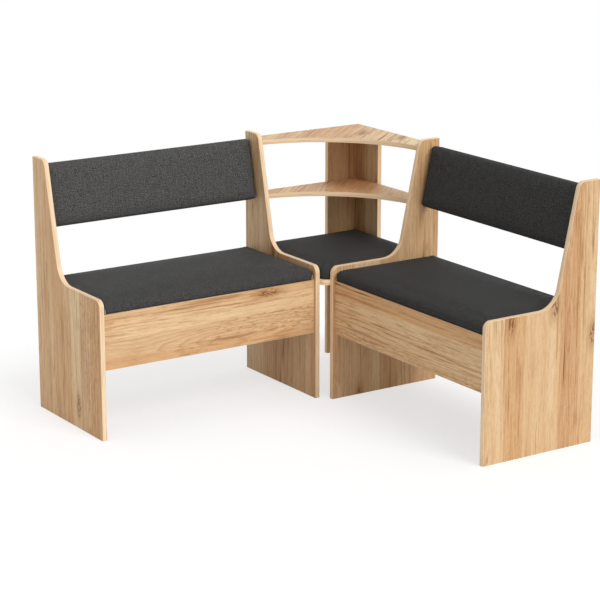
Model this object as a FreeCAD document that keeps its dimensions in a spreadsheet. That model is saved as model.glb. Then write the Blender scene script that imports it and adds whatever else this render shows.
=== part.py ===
import FreeCAD, Part
import math
import os
import re
import Sketcher

# Corner storage bench: two equal benches along two walls, joined by a corner seat with shelves above it.
# Frame: +Z up, the room corner at +X +Y, the origin on the floor under the middle of the outer square.
# Each bench has its own frame: X along its wall from its left end, Y towards the wall, Z up.

# Driving dimensions in millimetres
SIZES = {
    # Overall
    "left_bench_length": 830,
    "right_bench_length": 830,
    "nose_radius": 25,
    "total_height": 850,
    # Boards and edge bands
    "board": 16,
    "band": 1,
    # Side panel outline, as depths from the wall
    "panel_depth": 435,
    "head_depth": 79,
    "lean_foot_depth": 162,
    "arm_height": 460,
    "head_radius": 26,
    "lap_radius": 75,
    "front_radius": 25,
    # Storage box
    "seat_drop": 48,
    "apron_height": 184,
    "apron_recess": 10,
    "box_floor": 8,
    "cleat": 16,
    "rear_board_rise": 22,
    # Lid
    "buffer_height": 1.7,
    "buffer_radius": 5,
    "buffer_inset": 90,
    "rest_gap": 0.3,
    "lid_gap": 3,
    "lid_recess": 5,
    "seat_edge": 42,
    "seat_crown": 6,
    "wrap": 4,
    # Hinges
    "hinge_inset": 120,
    "hinge_length": 60,
    "hinge_share": 18.5,
    "hinge_play": 0.5,
    "knuckle_radius": 2.75,
    "pin_radius": 1.5,
    "pin_play": 0.08,
    "pivot_rise": 25,
    "leaf": 1.5,
    "leaf_drop": 32,
    "foot_reach": 40,
    # Backrest
    "backrest_drop": 18,
    "backrest_setback": 38.5,
    "backrest_height": 210,
    "backrest_pad": 26,
    "backrest_crown": 3,
    # Cam fittings, dowels and screws
    "cam_radius": 7.5,
    "cam_height": 12.5,
    "cam_reach": 34,
    "thread_radius": 2.5,
    "thread_length": 11,
    "bolt_radius": 3,
    "neck_radius": 2,
    "dowel_radius": 4,
    "dowel_length": 30,
    "dowel_in_face": 11,
    "fit_gap": 0.1,
    "screw_radius": 1.75,
    "screw_head_radius": 3.5,
    "screw_head": 1.4,
    "short_screw": 13,
    "long_screw": 27,
    # Corner unit
    "corner_board": 19,
    "column_width": 143,
    "shelf_drop": 24,
    "shelf_pitch": 190,
    "shelf_end_depth": 75,
    "shelf_radius": 425,
    "corner_cleat": 20,
    "corner_cleat_end_gap": 64,
    "corner_pad_gap": 2,
    "corner_edge": 43,
    "corner_crown": 7,
}

doc = FreeCAD.newDocument("corner_storage_bench")
sheet = doc.addObject("Spreadsheet::Sheet", "Dims")
for row, (alias, size) in enumerate(SIZES.items(), start=1):
    sheet.set(f"A{row}", alias)
    sheet.set(f"B{row}", str(size))
    sheet.setAlias(f"B{row}", alias)
doc.recompute()

# Sizes that follow from the driving ones
CORNER_SPAN = "(panel_depth + nose_radius)"
HALF_X = f"((left_bench_length + {CORNER_SPAN}) / 2)"
HALF_Y = f"((right_bench_length + {CORNER_SPAN}) / 2)"
SLOPE = "((lean_foot_depth - head_depth) / (total_height - arm_height))"
APRON_TOP = "(arm_height - seat_drop)"
APRON_BOTTOM = f"({APRON_TOP} - apron_height)"
APRON_FRONT = "(panel_depth - apron_recess)"
LID_BOTTOM = f"({APRON_TOP} + buffer_height + rest_gap)"
LID_BACK = "(board + 2 * knuckle_radius + hinge_play)"
LID_FRONT = "(panel_depth - lid_recess)"
REAR_TOP = f"({APRON_TOP} + rear_board_rise)"
PIVOT_DEPTH = "(board + knuckle_radius)"
PIVOT_HEIGHT = f"({APRON_TOP} + pivot_rise)"
FLOOR_UNDERSIDE = f"({APRON_BOTTOM} + cleat)"
SHELF_TOP = "(total_height - shelf_drop)"
MIDDLE_TOP = f"({SHELF_TOP} - shelf_pitch)"
CORNER_TOP = LID_BOTTOM
SPREAD = f"({CORNER_SPAN} + shelf_end_depth)"
SHELF_REACH = f"({CORNER_SPAN}^2 + shelf_end_depth^2 - shelf_radius^2)"
SHELF_CENTRE = f"(({SPREAD} + sqrt({SPREAD}^2 - 2 * {SHELF_REACH})) / 2)"
CORNER_CLEAT_LENGTH = f"({CORNER_SPAN} - board - 2 * corner_cleat - corner_cleat_end_gap)"

# Shares of a piece's own length where its fasteners sit
PEG_OFFSET = 0.35
BACK_CAM_SHARES = (0.28, 0.76)
LEAF_SCREWS = (0.18, 0.5, 0.82)
LEAF_SCREW_DROP = 0.62
LID_SCREWS = ((0.2, 0.7), (0.5, 0.35), (0.8, 0.7))
SIDE_CLEAT_SCREWS = (0.15, 0.5, 0.85)
LONG_CLEAT_SCREWS = (0.1, 0.5, 0.9)
COLUMN_PEGS = (0.12, 0.42, 0.62)
COLUMN_TOP_PEGS = (0.35, 0.8)
COLUMN_SIDE_PEG = 0.6
TOP_END_PEGS = (0.3, 0.72)
MIDDLE_END_PEGS = (0.42, 0.76)
CORNER_SIDE_SCREWS = (0.12, 0.5, 0.88)
CORNER_RISING_SCREWS = (0.3, 0.7)

# Cushion edges: the round of a seat's ends, and how far its long sides are drawn in at mid length
SOFT_EDGE = 14
WAIST = 2

# Turns about one axis, as axis and degrees
STRAIGHT = ("1; 0; 0", "0")
ABOUT_X = ("1; 0; 0", "90")
ABOUT_X_BACK = ("1; 0; 0", "-90")
ABOUT_Y = ("0; 1; 0", "90")
ABOUT_Y_BACK = ("0; 1; 0", "-90")
HALF_TURN = ("0; 0; 1", "180")
OVER = ("1; 0; 0", "180")


def sized(text):
    """An expression with each size's name pointed at its cell."""
    return re.sub(r"[a-z][a-z_]*", lambda word: f"Dims.{word[0]}" if word[0] in SIZES else word[0], str(text))


def value(text):
    """The number that an expression of sizes gives."""
    probe = doc.getObject("Probe") or doc.addObject("Part::Vertex", "Probe")
    probe.setExpression("X", sized(text))
    probe.recompute()
    return float(probe.X)


def shift(x, y, z, turn=STRAIGHT):
    """A frame's expression: a move and then one turn."""
    return f"placement(vector({x}; {y}; {z}); rotation(vector({turn[0]}); {turn[1]}))"


def place(piece, frame):
    piece.setExpression("Placement", sized(frame))
    return piece


def bind(piece, **sizes):
    for name, text in sizes.items():
        piece.setExpression(name, sized(text))
    return piece


LEFT = shift(f"-{HALF_X}", HALF_Y, 0)
RIGHT = shift(HALF_X, f"{HALF_Y} - {CORNER_SPAN}", 0, ("0; 0; 1", "-90"))
CORNER = shift(HALF_X, HALF_Y, 0)

kept = []


def keep(name, piece):
    """Makes a piece one of the nodes, under its own name."""
    piece.Label = name
    kept.append(piece)
    return piece


def block(name, frame, low, size):
    """A board with its lowest corner at low in the frame, and its size along the frame's axes."""
    piece = doc.addObject("Part::Box", name)
    bind(piece, Length=size[0], Width=size[1], Height=size[2])
    return place(piece, f"{frame} * {shift(*low)}")


def rod(name, frame, radius, length, start="0"):
    """A cylinder along the frame's Z, from start."""
    piece = doc.addObject("Part::Cylinder", name)
    bind(piece, Radius=radius, Height=length)
    return place(piece, f"{frame} * {shift(0, 0, start)}")


def group(name, members):
    piece = doc.addObject("Part::Compound", name)
    piece.Links = members
    return piece


def fused(name, members):
    piece = doc.addObject("Part::MultiFuse", name)
    piece.Shapes = members
    return piece


def cut(name, base, tools):
    """The base without its tools."""
    piece = doc.addObject("Part::Cut", name)
    piece.Base = base
    piece.Tool = tools[0] if len(tools) == 1 else group(f"{name}_tools", tools)
    return piece


def origin_plane(body, role):
    return next(feature for feature in body.Origin.OriginFeatures if feature.Role == role)


def edge_along_x(feature, y, z):
    """The name of the edge along X nearest to y, z."""
    def distance(edge):
        ends = [vertex.Point for vertex in edge.Vertexes]
        if len(ends) < 2 or abs(ends[0].x - ends[-1].x) < 1:
            return math.inf
        return math.hypot(ends[0].y - y, ends[0].z - z)
    edges = feature.Shape.Edges
    return f"Edge{min(range(len(edges)), key=lambda number: distance(edges[number])) + 1}"


def outline_body(name, frame, inset):
    """A side panel's outline, drawn in by inset on its top and front, as thick as a board."""
    body = doc.addObject("PartDesign::Body", name)
    sketch = body.newObject("Sketcher::SketchObject", f"{name}_outline")
    sketch.AttachmentSupport = [(origin_plane(body, "YZ_Plane"), "")]
    sketch.MapMode = "FlatFace"
    draw_in = f"({inset} * ({SLOPE} - sqrt(1 + {SLOPE}^2)))"
    corners = [
        ("0", "0"),
        ("0", f"total_height - {inset}"),
        (f"head_depth + {draw_in}", f"total_height - {inset}"),
        (f"lean_foot_depth + {draw_in}", f"arm_height - {inset}"),
        (f"panel_depth - {inset}", f"arm_height - {inset}"),
        (f"panel_depth - {inset}", "0"),
    ]
    points = [FreeCAD.Vector(-value(depth), value(height), 0) for depth, height in corners]
    for number, point in enumerate(points):
        sketch.addGeometry(Part.LineSegment(point, points[(number + 1) % len(points)]))
    for number in range(len(points)):
        sketch.addConstraint(Sketcher.Constraint("Coincident", number, 2, (number + 1) % len(points), 1))
    for number, (depth, height) in enumerate(corners):
        for kind, distance, axis in (("DistanceX", f"-({depth})", -2), ("DistanceY", height, -1)):
            if distance in ("0", "-(0)"):
                sketch.addConstraint(Sketcher.Constraint("PointOnObject", number, 1, axis))
                continue
            spot = value(distance)
            index = sketch.addConstraint(Sketcher.Constraint(kind, -1, 1, number, 1, spot))
            sketch.setExpression(f"Constraints[{index}]", sized(distance))
    solid = body.newObject("PartDesign::Pad", f"{name}_pad")
    solid.Profile = sketch
    bind(solid, Length="board")
    doc.recompute()
    rounds = [
        (points[2], f"head_radius - {inset}"),
        (points[3], f"lap_radius + {inset}"),
        (points[4], f"front_radius - {inset}"),
    ]
    for number, (point, radius) in enumerate(rounds):
        fillet = body.newObject("PartDesign::Fillet", f"{name}_round_{number}")
        fillet.Base = (solid, [edge_along_x(solid, point.x, point.y)])
        bind(fillet, Radius=radius)
        doc.recompute()
        solid = fillet
    return place(body, frame)


def screw(name, frame, length):
    """A countersunk screw: its head's face at the frame's origin, its shank along -Z."""
    head = doc.addObject("Part::Cone", f"{name}_head")
    bind(head, Radius1="screw_radius", Radius2="screw_head_radius", Height="screw_head")
    place(head, f"{frame} * {shift(0, 0, '-screw_head')}")
    shank = rod(f"{name}_shank", frame, "screw_radius", f"{length} - screw_head", f"-{length}")
    return fused(name, [head, shank])


def countersink(name, frame):
    """The hole that a screw's head sits in, right through a hinge leaf."""
    hole = doc.addObject("Part::Cone", name)
    bind(hole, Radius1="screw_radius + fit_gap", Radius2="screw_head_radius + fit_gap", Height="leaf")
    return place(hole, f"{frame} * {shift(0, 0, '-leaf')}")


def dowel(name, frame):
    """A dowel and its hole: the frame's origin on a board's face, +Z out of that face."""
    pin = rod(name, frame, "dowel_radius", "dowel_length", "-dowel_in_face")
    hole = rod(
        f"{name}_hole",
        frame,
        "dowel_radius + fit_gap",
        "dowel_length + 2 * fit_gap",
        "-dowel_in_face - fit_gap",
    )
    return pin, hole


def cam_fitting(name, frame, gap="0"):
    """A cam, its bolt and their holes: +X from the panel's face into the board, +Z to the cam's open face."""
    along = f"{frame} * {shift(0, 0, 0, ABOUT_Y)}"
    reach = f"({gap} + cam_reach)"
    wall = f"({reach} - cam_radius - fit_gap)"
    bolt = fused(
        f"{name}_bolt",
        [
            rod(f"{name}_thread", along, "thread_radius", "thread_length", "-thread_length"),
            rod(f"{name}_shank", along, "bolt_radius", wall),
            rod(f"{name}_neck", along, "neck_radius", f"{reach} - {wall}", wall),
            rod(f"{name}_head", along, "bolt_radius", "neck_radius", reach),
        ],
    )
    centre = f"{frame} * {shift(reach, 0, 'board / 2')}"
    disc = rod(f"{name}_disc", centre, "cam_radius", "cam_height", "-cam_height")
    slot = block(
        f"{name}_slot",
        centre,
        ("-cam_radius - fit_gap", "-bolt_radius - fit_gap", "-cam_height - fit_gap"),
        (
            "cam_radius + neck_radius + 3 * fit_gap",
            "2 * (bolt_radius + fit_gap)",
            "cam_height + bolt_radius + 2 * fit_gap - board / 2",
        ),
    )
    cam = cut(f"{name}_cam", disc, [slot])
    panel_hole = rod(
        f"{name}_panel_hole",
        along,
        "thread_radius + fit_gap",
        "thread_length + fit_gap",
        "-thread_length - fit_gap",
    )
    edge_hole = rod(f"{name}_edge_hole", along, "bolt_radius + fit_gap", reach)
    cam_hole = rod(
        f"{name}_cam_hole",
        centre,
        "cam_radius + fit_gap",
        "cam_height + 2 * fit_gap",
        "-cam_height - fit_gap",
    )
    return bolt, cam, panel_hole, [edge_hole, cam_hole]


def rounded_profile(x, depth, height, crown, soft, drawn_in):
    """A cushion's section at x: flat below, rounded at both sides, with a crowned top."""
    back, front = -drawn_in, -depth + drawn_in
    lean = soft * (1 - math.sqrt(0.5))
    middle = (back + front) / 2

    def spot(y, z):
        return FreeCAD.Vector(x, y, z)
    edges = [
        Part.LineSegment(spot(back, 0), spot(back, height - soft)),
        Part.Arc(spot(back, height - soft), spot(back - lean, height - lean), spot(back - soft, height)),
        Part.Arc(spot(back - soft, height), spot(middle, height + crown), spot(front + soft, height)),
        Part.Arc(spot(front + soft, height), spot(front + lean, height - lean), spot(front, height - soft)),
        Part.LineSegment(spot(front, height - soft), spot(front, 0)),
        Part.LineSegment(spot(front, 0), spot(back, 0)),
    ]
    return Part.Wire([edge.toShape() for edge in edges])


def cushion_shape(width, depth, height, crown, soft, waist):
    """A crowned cushion, X from 0 to width and Y from 0 to -depth, with its sides drawn in by waist."""
    quarter = [math.radians(angle) for angle in (0, 30, 60, 90)]
    ends = [(soft * (1 - math.cos(angle)), soft * (1 - math.sin(angle))) for angle in quarter]
    inner = [(width * share / 8, 0) for share in range(1, 8)]
    far = [(width - x, drop) for x, drop in reversed(ends)]
    sections = []
    for x, drop in ends + inner + far:
        swell = 1 - (2 * x / width - 1) ** 2
        inset = waist * swell + drop / 4
        sections.append(rounded_profile(x, depth, height - drop, 0.5 + crown * swell, soft / 2, inset))
    return Part.makeLoft(sections, True, True)


def cushion(name, frame, size, crown, board_gap):
    """A cushion with a hollow for its board where board_gap is given: the board's inset and thickness."""
    width, depth, height = (value(text) for text in size)
    shape = cushion_shape(width, depth, height, value(crown), SOFT_EDGE, WAIST)
    if board_gap:
        inset, thick = (value(text) for text in board_gap)
        corner = FreeCAD.Vector(inset, inset - depth, 0)
        shape = shape.cut(Part.makeBox(width - 2 * inset, depth - 2 * inset, thick, corner))
    piece = doc.addObject("Part::Feature", name)
    piece.Shape = shape
    return place(piece, frame)


def hinge(name, frame):
    """One hinge: the frame's origin at the left end of the pin, X along it, Y to the wall."""
    along = f"{frame} * {shift(0, 0, 0, ABOUT_Y)}"
    middle = "(hinge_share + hinge_play)"
    middle_length = "(hinge_length - 2 * hinge_share - 2 * hinge_play)"
    clear = "(knuckle_radius + hinge_play)"
    drop = "(pivot_rise - buffer_height - rest_gap + leaf)"
    pin = rod(f"{name}_pin", along, "pin_radius", "hinge_length")
    # Leaf on the rear board, with the two outer knuckles
    plate = block(
        f"{name}_plate",
        frame,
        (0, "knuckle_radius - leaf", "-leaf_drop"),
        ("hinge_length", "leaf", "leaf_drop"),
    )
    outer = [
        rod(f"{name}_knuckle_a", along, "knuckle_radius", "hinge_share"),
        rod(f"{name}_knuckle_b", along, "knuckle_radius", "hinge_share", "hinge_length - hinge_share"),
    ]
    fixed_screws, fixed_holes = [], []
    for number, share in enumerate(LEAF_SCREWS):
        spot = (f"{share} * hinge_length", "knuckle_radius - leaf", f"-{LEAF_SCREW_DROP} * leaf_drop")
        seat = f"{frame} * {shift(*spot, ABOUT_X)}"
        fixed_screws.append(screw(f"{name}_rear_screw_{number}", seat, "short_screw"))
        fixed_holes.append(countersink(f"{name}_rear_sink_{number}", seat))
    window = block(
        f"{name}_window",
        frame,
        ("hinge_share", "-leaf", f"-{clear}"),
        ("hinge_length - 2 * hinge_share", "knuckle_radius + 2 * leaf", f"2 * {clear}"),
    )
    bore = rod(f"{name}_bore", along, "pin_radius", "hinge_length")
    fixed = cut(f"{name}_fixed", fused(f"{name}_fixed_blank", [plate, *outer]), [window, bore, *fixed_holes])
    # Leaf under the lid, cranked up behind it to the middle knuckle
    riser = block(
        f"{name}_riser",
        frame,
        (0, "-knuckle_radius", f"-{drop}"),
        ("hinge_length", "leaf", drop),
    )
    foot = block(
        f"{name}_foot",
        frame,
        (0, "-knuckle_radius - foot_reach", f"-{drop}"),
        ("hinge_length", "foot_reach + leaf", "leaf"),
    )
    centre = rod(f"{name}_knuckle_c", along, "knuckle_radius", middle_length, middle)
    lid_screws, lid_holes = [], []
    for number, (across, reach) in enumerate(LID_SCREWS):
        depth = f"-knuckle_radius - {reach} * foot_reach"
        seat = f"{frame} * {shift(f'{across} * hinge_length', depth, f'-{drop}', OVER)}"
        lid_screws.append(screw(f"{name}_lid_screw_{number}", seat, "short_screw"))
        lid_holes.append(countersink(f"{name}_lid_sink_{number}", seat))
    notches = [
        block(
            f"{name}_notch_{number}",
            frame,
            (start, "-knuckle_radius - leaf", f"-{clear}"),
            (f"{middle} + fit_gap", "2 * knuckle_radius + leaf", f"2 * {clear}"),
        )
        for number, start in enumerate(("-fit_gap", f"hinge_length - {middle}"))
    ]
    running_bore = rod(f"{name}_running_bore", along, "pin_radius + pin_play", "hinge_length")
    moving_blank = fused(f"{name}_moving_blank", [riser, foot, centre])
    moving = cut(f"{name}_moving", moving_blank, [*notches, running_bore, *lid_holes])
    return fixed, moving, pin, fixed_screws, lid_screws


def bench(side, frame, length, ends):
    """One bench of the given outer length; ends names its left and right side panels."""
    inside = f"({length} - 2 * board)"
    far_face = f"({length} - board)"
    bolts, cams, dowels, cleat_screws = [], [], [], []
    panel_holes = {end: [] for end in ends}

    def fittings(board_name, mid, pegs, accessible_back):
        """Cam fittings and dowels at both ends of a board whose mid-line is at mid, in depth and height."""
        holes = []
        depth, height = mid
        turns = (ABOUT_X_BACK, ABOUT_X) if accessible_back else (ABOUT_X, ABOUT_X_BACK)
        places = ((ends[0], "board", STRAIGHT, turns[0]), (ends[1], far_face, HALF_TURN, turns[1]))
        for end, face, heading, turn in places:
            name = f"{side}_{board_name}_{end}"
            start = f"{frame} * {shift(face, f'-{depth}', height, heading)}"
            bolt, cam, panel_hole, edge_holes = cam_fitting(name, f"{start} * {shift(0, 0, 0, turn)}")
            bolts.append(bolt)
            cams.append(cam)
            panel_holes[end].append(panel_hole)
            holes.extend(edge_holes)
            for number, rise in enumerate(pegs):
                peg, hole = dowel(f"{name}_dowel_{number}", f"{start} * {shift(0, 0, rise, ABOUT_Y)}")
                dowels.append(peg)
                panel_holes[end].append(hole)
                holes.append(hole)
        return holes

    # Front board under the seat, with its edge bands
    apron_middle = f"({APRON_FRONT} - board / 2)"
    apron_holes = fittings("apron", (apron_middle, f"({APRON_BOTTOM} + apron_height / 2)"),
                           (f"-{PEG_OFFSET} * apron_height", f"{PEG_OFFSET} * apron_height"), True)
    apron = block(
        f"{side}_apron_blank",
        frame,
        ("board", f"-{APRON_FRONT}", f"{APRON_BOTTOM} + band"),
        (inside, "board", "apron_height - 2 * band"),
    )
    keep(f"{side}_apron", cut(f"{side}_apron", apron, apron_holes))
    apron_bands = [
        block(f"{side}_apron_band_{number}", frame, ("board", f"-{APRON_FRONT}", low),
              (inside, "board", "band"))
        for number, low in enumerate((APRON_BOTTOM, f"{APRON_TOP} - band"))
    ]
    keep(f"{side}_apron_edge_bands", group(f"{side}_apron_edge_bands", apron_bands))

    # Rear board of the storage box
    rear_height = f"({REAR_TOP} - {APRON_BOTTOM})"
    rear_holes = fittings("rear", ("board / 2", f"({APRON_BOTTOM} + {rear_height} / 2)"),
                          (f"-{PEG_OFFSET} * {rear_height}", f"{PEG_OFFSET} * {rear_height}"), False)
    rear = block(f"{side}_rear_blank", frame, ("board", "-board", APRON_BOTTOM),
                 (inside, "board", rear_height))
    keep(f"{side}_box_rear_board", cut(f"{side}_box_rear_board", rear, rear_holes))

    # Box floor on its cleats
    box_depth = f"({APRON_FRONT} - 2 * board)"
    box_front = f"-({APRON_FRONT} - board)"
    keep(f"{side}_box_floor", block(
        f"{side}_box_floor",
        frame,
        ("board", box_front, FLOOR_UNDERSIDE),
        (inside, box_depth, "box_floor"),
    ))
    side_cleats = [
        block(f"{side}_side_cleat_{number}", frame, (start, box_front, APRON_BOTTOM),
              ("cleat", box_depth, "cleat"))
        for number, start in enumerate(("board", f"{far_face} - cleat"))
    ]
    keep(f"{side}_box_side_cleats", group(f"{side}_box_side_cleats", side_cleats))
    long_inside = f"({inside} - 2 * cleat)"
    long_cleats = [
        block(f"{side}_long_cleat_{number}", frame, ("board + cleat", start, APRON_BOTTOM),
              (long_inside, "cleat", "cleat"))
        for number, start in enumerate((box_front, "-board - cleat"))
    ]
    keep(f"{side}_box_long_cleats", group(f"{side}_box_long_cleats", long_cleats))
    cleat_middle = f"({APRON_BOTTOM} + cleat / 2)"
    for share in SIDE_CLEAT_SCREWS:
        depth = f"{box_front} + {share} * {box_depth}"
        for start, turn in (("board + cleat", ABOUT_Y), (f"{far_face} - cleat", ABOUT_Y_BACK)):
            seat = f"{frame} * {shift(start, depth, cleat_middle, turn)}"
            cleat_screws.append(screw(f"{side}_cleat_screw_{len(cleat_screws)}", seat, "long_screw"))
    for share in LONG_CLEAT_SCREWS:
        along = f"board + cleat + {share} * {long_inside}"
        for depth, turn in ((f"{box_front} + cleat", ABOUT_X_BACK), ("-board - cleat", ABOUT_X)):
            seat = f"{frame} * {shift(along, depth, cleat_middle, turn)}"
            cleat_screws.append(screw(f"{side}_cleat_screw_{len(cleat_screws)}", seat, "long_screw"))
    keep(f"{side}_cleat_screws", group(f"{side}_cleat_screws", cleat_screws))

    # Lid buffers on the apron
    buffers = [
        rod(f"{side}_buffer_{number}", f"{frame} * {shift(along, f'-{apron_middle}', APRON_TOP)}",
            "buffer_radius", "buffer_height")
        for number, along in enumerate(("buffer_inset", f"{length} / 2", f"{length} - buffer_inset"))
    ]
    keep(f"{side}_lid_buffers", group(f"{side}_lid_buffers", buffers))

    # Lid: a board in its upholstery
    lid_size = (f"{inside} - 2 * lid_gap", f"{LID_FRONT} - {LID_BACK}", "seat_edge")
    keep(f"{side}_seat_board", block(
        f"{side}_seat_board",
        frame,
        ("board + lid_gap + wrap", f"wrap - {LID_FRONT}", LID_BOTTOM),
        (f"{lid_size[0]} - 2 * wrap", f"{lid_size[1]} - 2 * wrap", "board"),
    ))
    keep(f"{side}_seat_pad", cushion(
        f"{side}_seat_pad",
        f"{frame} * {shift('board + lid_gap', f'-{LID_BACK}', LID_BOTTOM)}",
        lid_size,
        "seat_crown",
        ("wrap", "board"),
    ))

    # Hinges between the rear board and the lid
    hinges = []
    for number, start in enumerate(("hinge_inset", f"{length} - hinge_inset - hinge_length")):
        hinges.append(hinge(f"{side}_hinge_{number}",
                            f"{frame} * {shift(start, f'-{PIVOT_DEPTH}', PIVOT_HEIGHT)}"))
    fixed, moving, pins, fixed_screws, lid_screws = zip(*hinges)
    keep(f"{side}_hinge_fixed_leaves", group(f"{side}_hinge_fixed_leaves", list(fixed)))
    keep(f"{side}_hinge_moving_leaves", group(f"{side}_hinge_moving_leaves", list(moving)))
    keep(f"{side}_hinge_pins", group(f"{side}_hinge_pins", list(pins)))
    keep(f"{side}_hinge_rear_screws", group(f"{side}_hinge_rear_screws", sum(fixed_screws, [])))
    keep(f"{side}_hinge_lid_screws", group(f"{side}_hinge_lid_screws", sum(lid_screws, [])))

    # Backrest, parallel to the leaning fronts of the side panels: its frame has Z up the slope and
    # Y towards the wall, from the upper front edge of the pad
    head = f"(head_depth + {SLOPE} * backrest_drop - backrest_setback)"
    lean = f"-atan({SLOPE})"
    back_frame = f"{frame} * {shift(0, f'-{head}', 'total_height - backrest_drop', ('1; 0; 0', lean))}"
    back_size = (f"{inside} - 2 * lid_gap", "backrest_height", "backrest_pad + board")
    back_board = block(
        f"{side}_back_blank",
        back_frame,
        ("board + lid_gap + wrap", "backrest_pad", "wrap - backrest_height"),
        (f"{back_size[0]} - 2 * wrap", "board", "backrest_height - 2 * wrap"),
    )
    back_holes = []
    side_gap = "(lid_gap + wrap)"
    for number, share in enumerate(BACK_CAM_SHARES):
        depth, height = "backrest_pad + board / 2", f"-{share} * backrest_height"
        for end, face, heading, turn in ((ends[0], "board", STRAIGHT, ABOUT_X_BACK),
                                         (ends[1], far_face, HALF_TURN, ABOUT_X)):
            name = f"{side}_back_{end}_{number}"
            start = f"{back_frame} * {shift(face, depth, height, heading)} * {shift(0, 0, 0, turn)}"
            bolt, cam, panel_hole, edge_holes = cam_fitting(name, start, side_gap)
            bolts.append(bolt)
            cams.append(cam)
            panel_holes[end].append(panel_hole)
            back_holes.extend(edge_holes)
    keep(f"{side}_backrest_board", cut(f"{side}_backrest_board", back_board, back_holes))
    back_pad = cushion(
        f"{side}_back_pad_blank",
        f"{back_frame} * {shift('board + lid_gap', 'backrest_pad + board', 0, ABOUT_X)}",
        back_size,
        "backrest_crown",
        ("wrap", "board"),
    )
    keep(f"{side}_backrest_pad", cut(f"{side}_backrest_pad", back_pad, back_holes))

    keep(f"{side}_cam_discs", group(f"{side}_cam_discs", cams))
    keep(f"{side}_cam_bolts", group(f"{side}_cam_bolts", bolts))
    keep(f"{side}_dowels", group(f"{side}_dowels", dowels))
    return panel_holes


def side_panel(side, end, frame, holes):
    """A side panel with its edge band and the holes of what is fixed to it."""
    name = f"{side}_{end}"
    whole = outline_body(f"{name}_whole", frame, "0")
    core = outline_body(f"{name}_core", frame, "band")
    keep(f"{name}_panel_edge_band", cut(f"{name}_panel_edge_band", whole, [core]))
    keep(f"{name}_side_panel", cut(f"{name}_side_panel", core, holes))


def curved_shelf(name, top, back):
    """A corner shelf with a hollow curved front, and the band on it; back is its gap to the walls."""
    low = (f"-{CORNER_SPAN}", f"-{CORNER_SPAN}", f"{top} - board")
    size = (f"{CORNER_SPAN} - {back}", f"{CORNER_SPAN} - {back}", "board")
    centre = f"{CORNER} * {shift(f'-{SHELF_CENTRE}', f'-{SHELF_CENTRE}', f'{top} - board')}"
    square = block(f"{name}_square", CORNER, low, size)
    front = rod(f"{name}_front", centre, "shelf_radius + band", "board")
    blank = cut(f"{name}_blank", square, [front])
    ring = cut(f"{name}_ring", rod(f"{name}_ring_blank", centre, "shelf_radius + band", "board"),
               [rod(f"{name}_hollow", centre, "shelf_radius", "board")])
    band = doc.addObject("Part::Common", f"{name}_band")
    band.Base = block(f"{name}_band_square", CORNER, low, size)
    band.Tool = ring
    return blank, band


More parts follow.
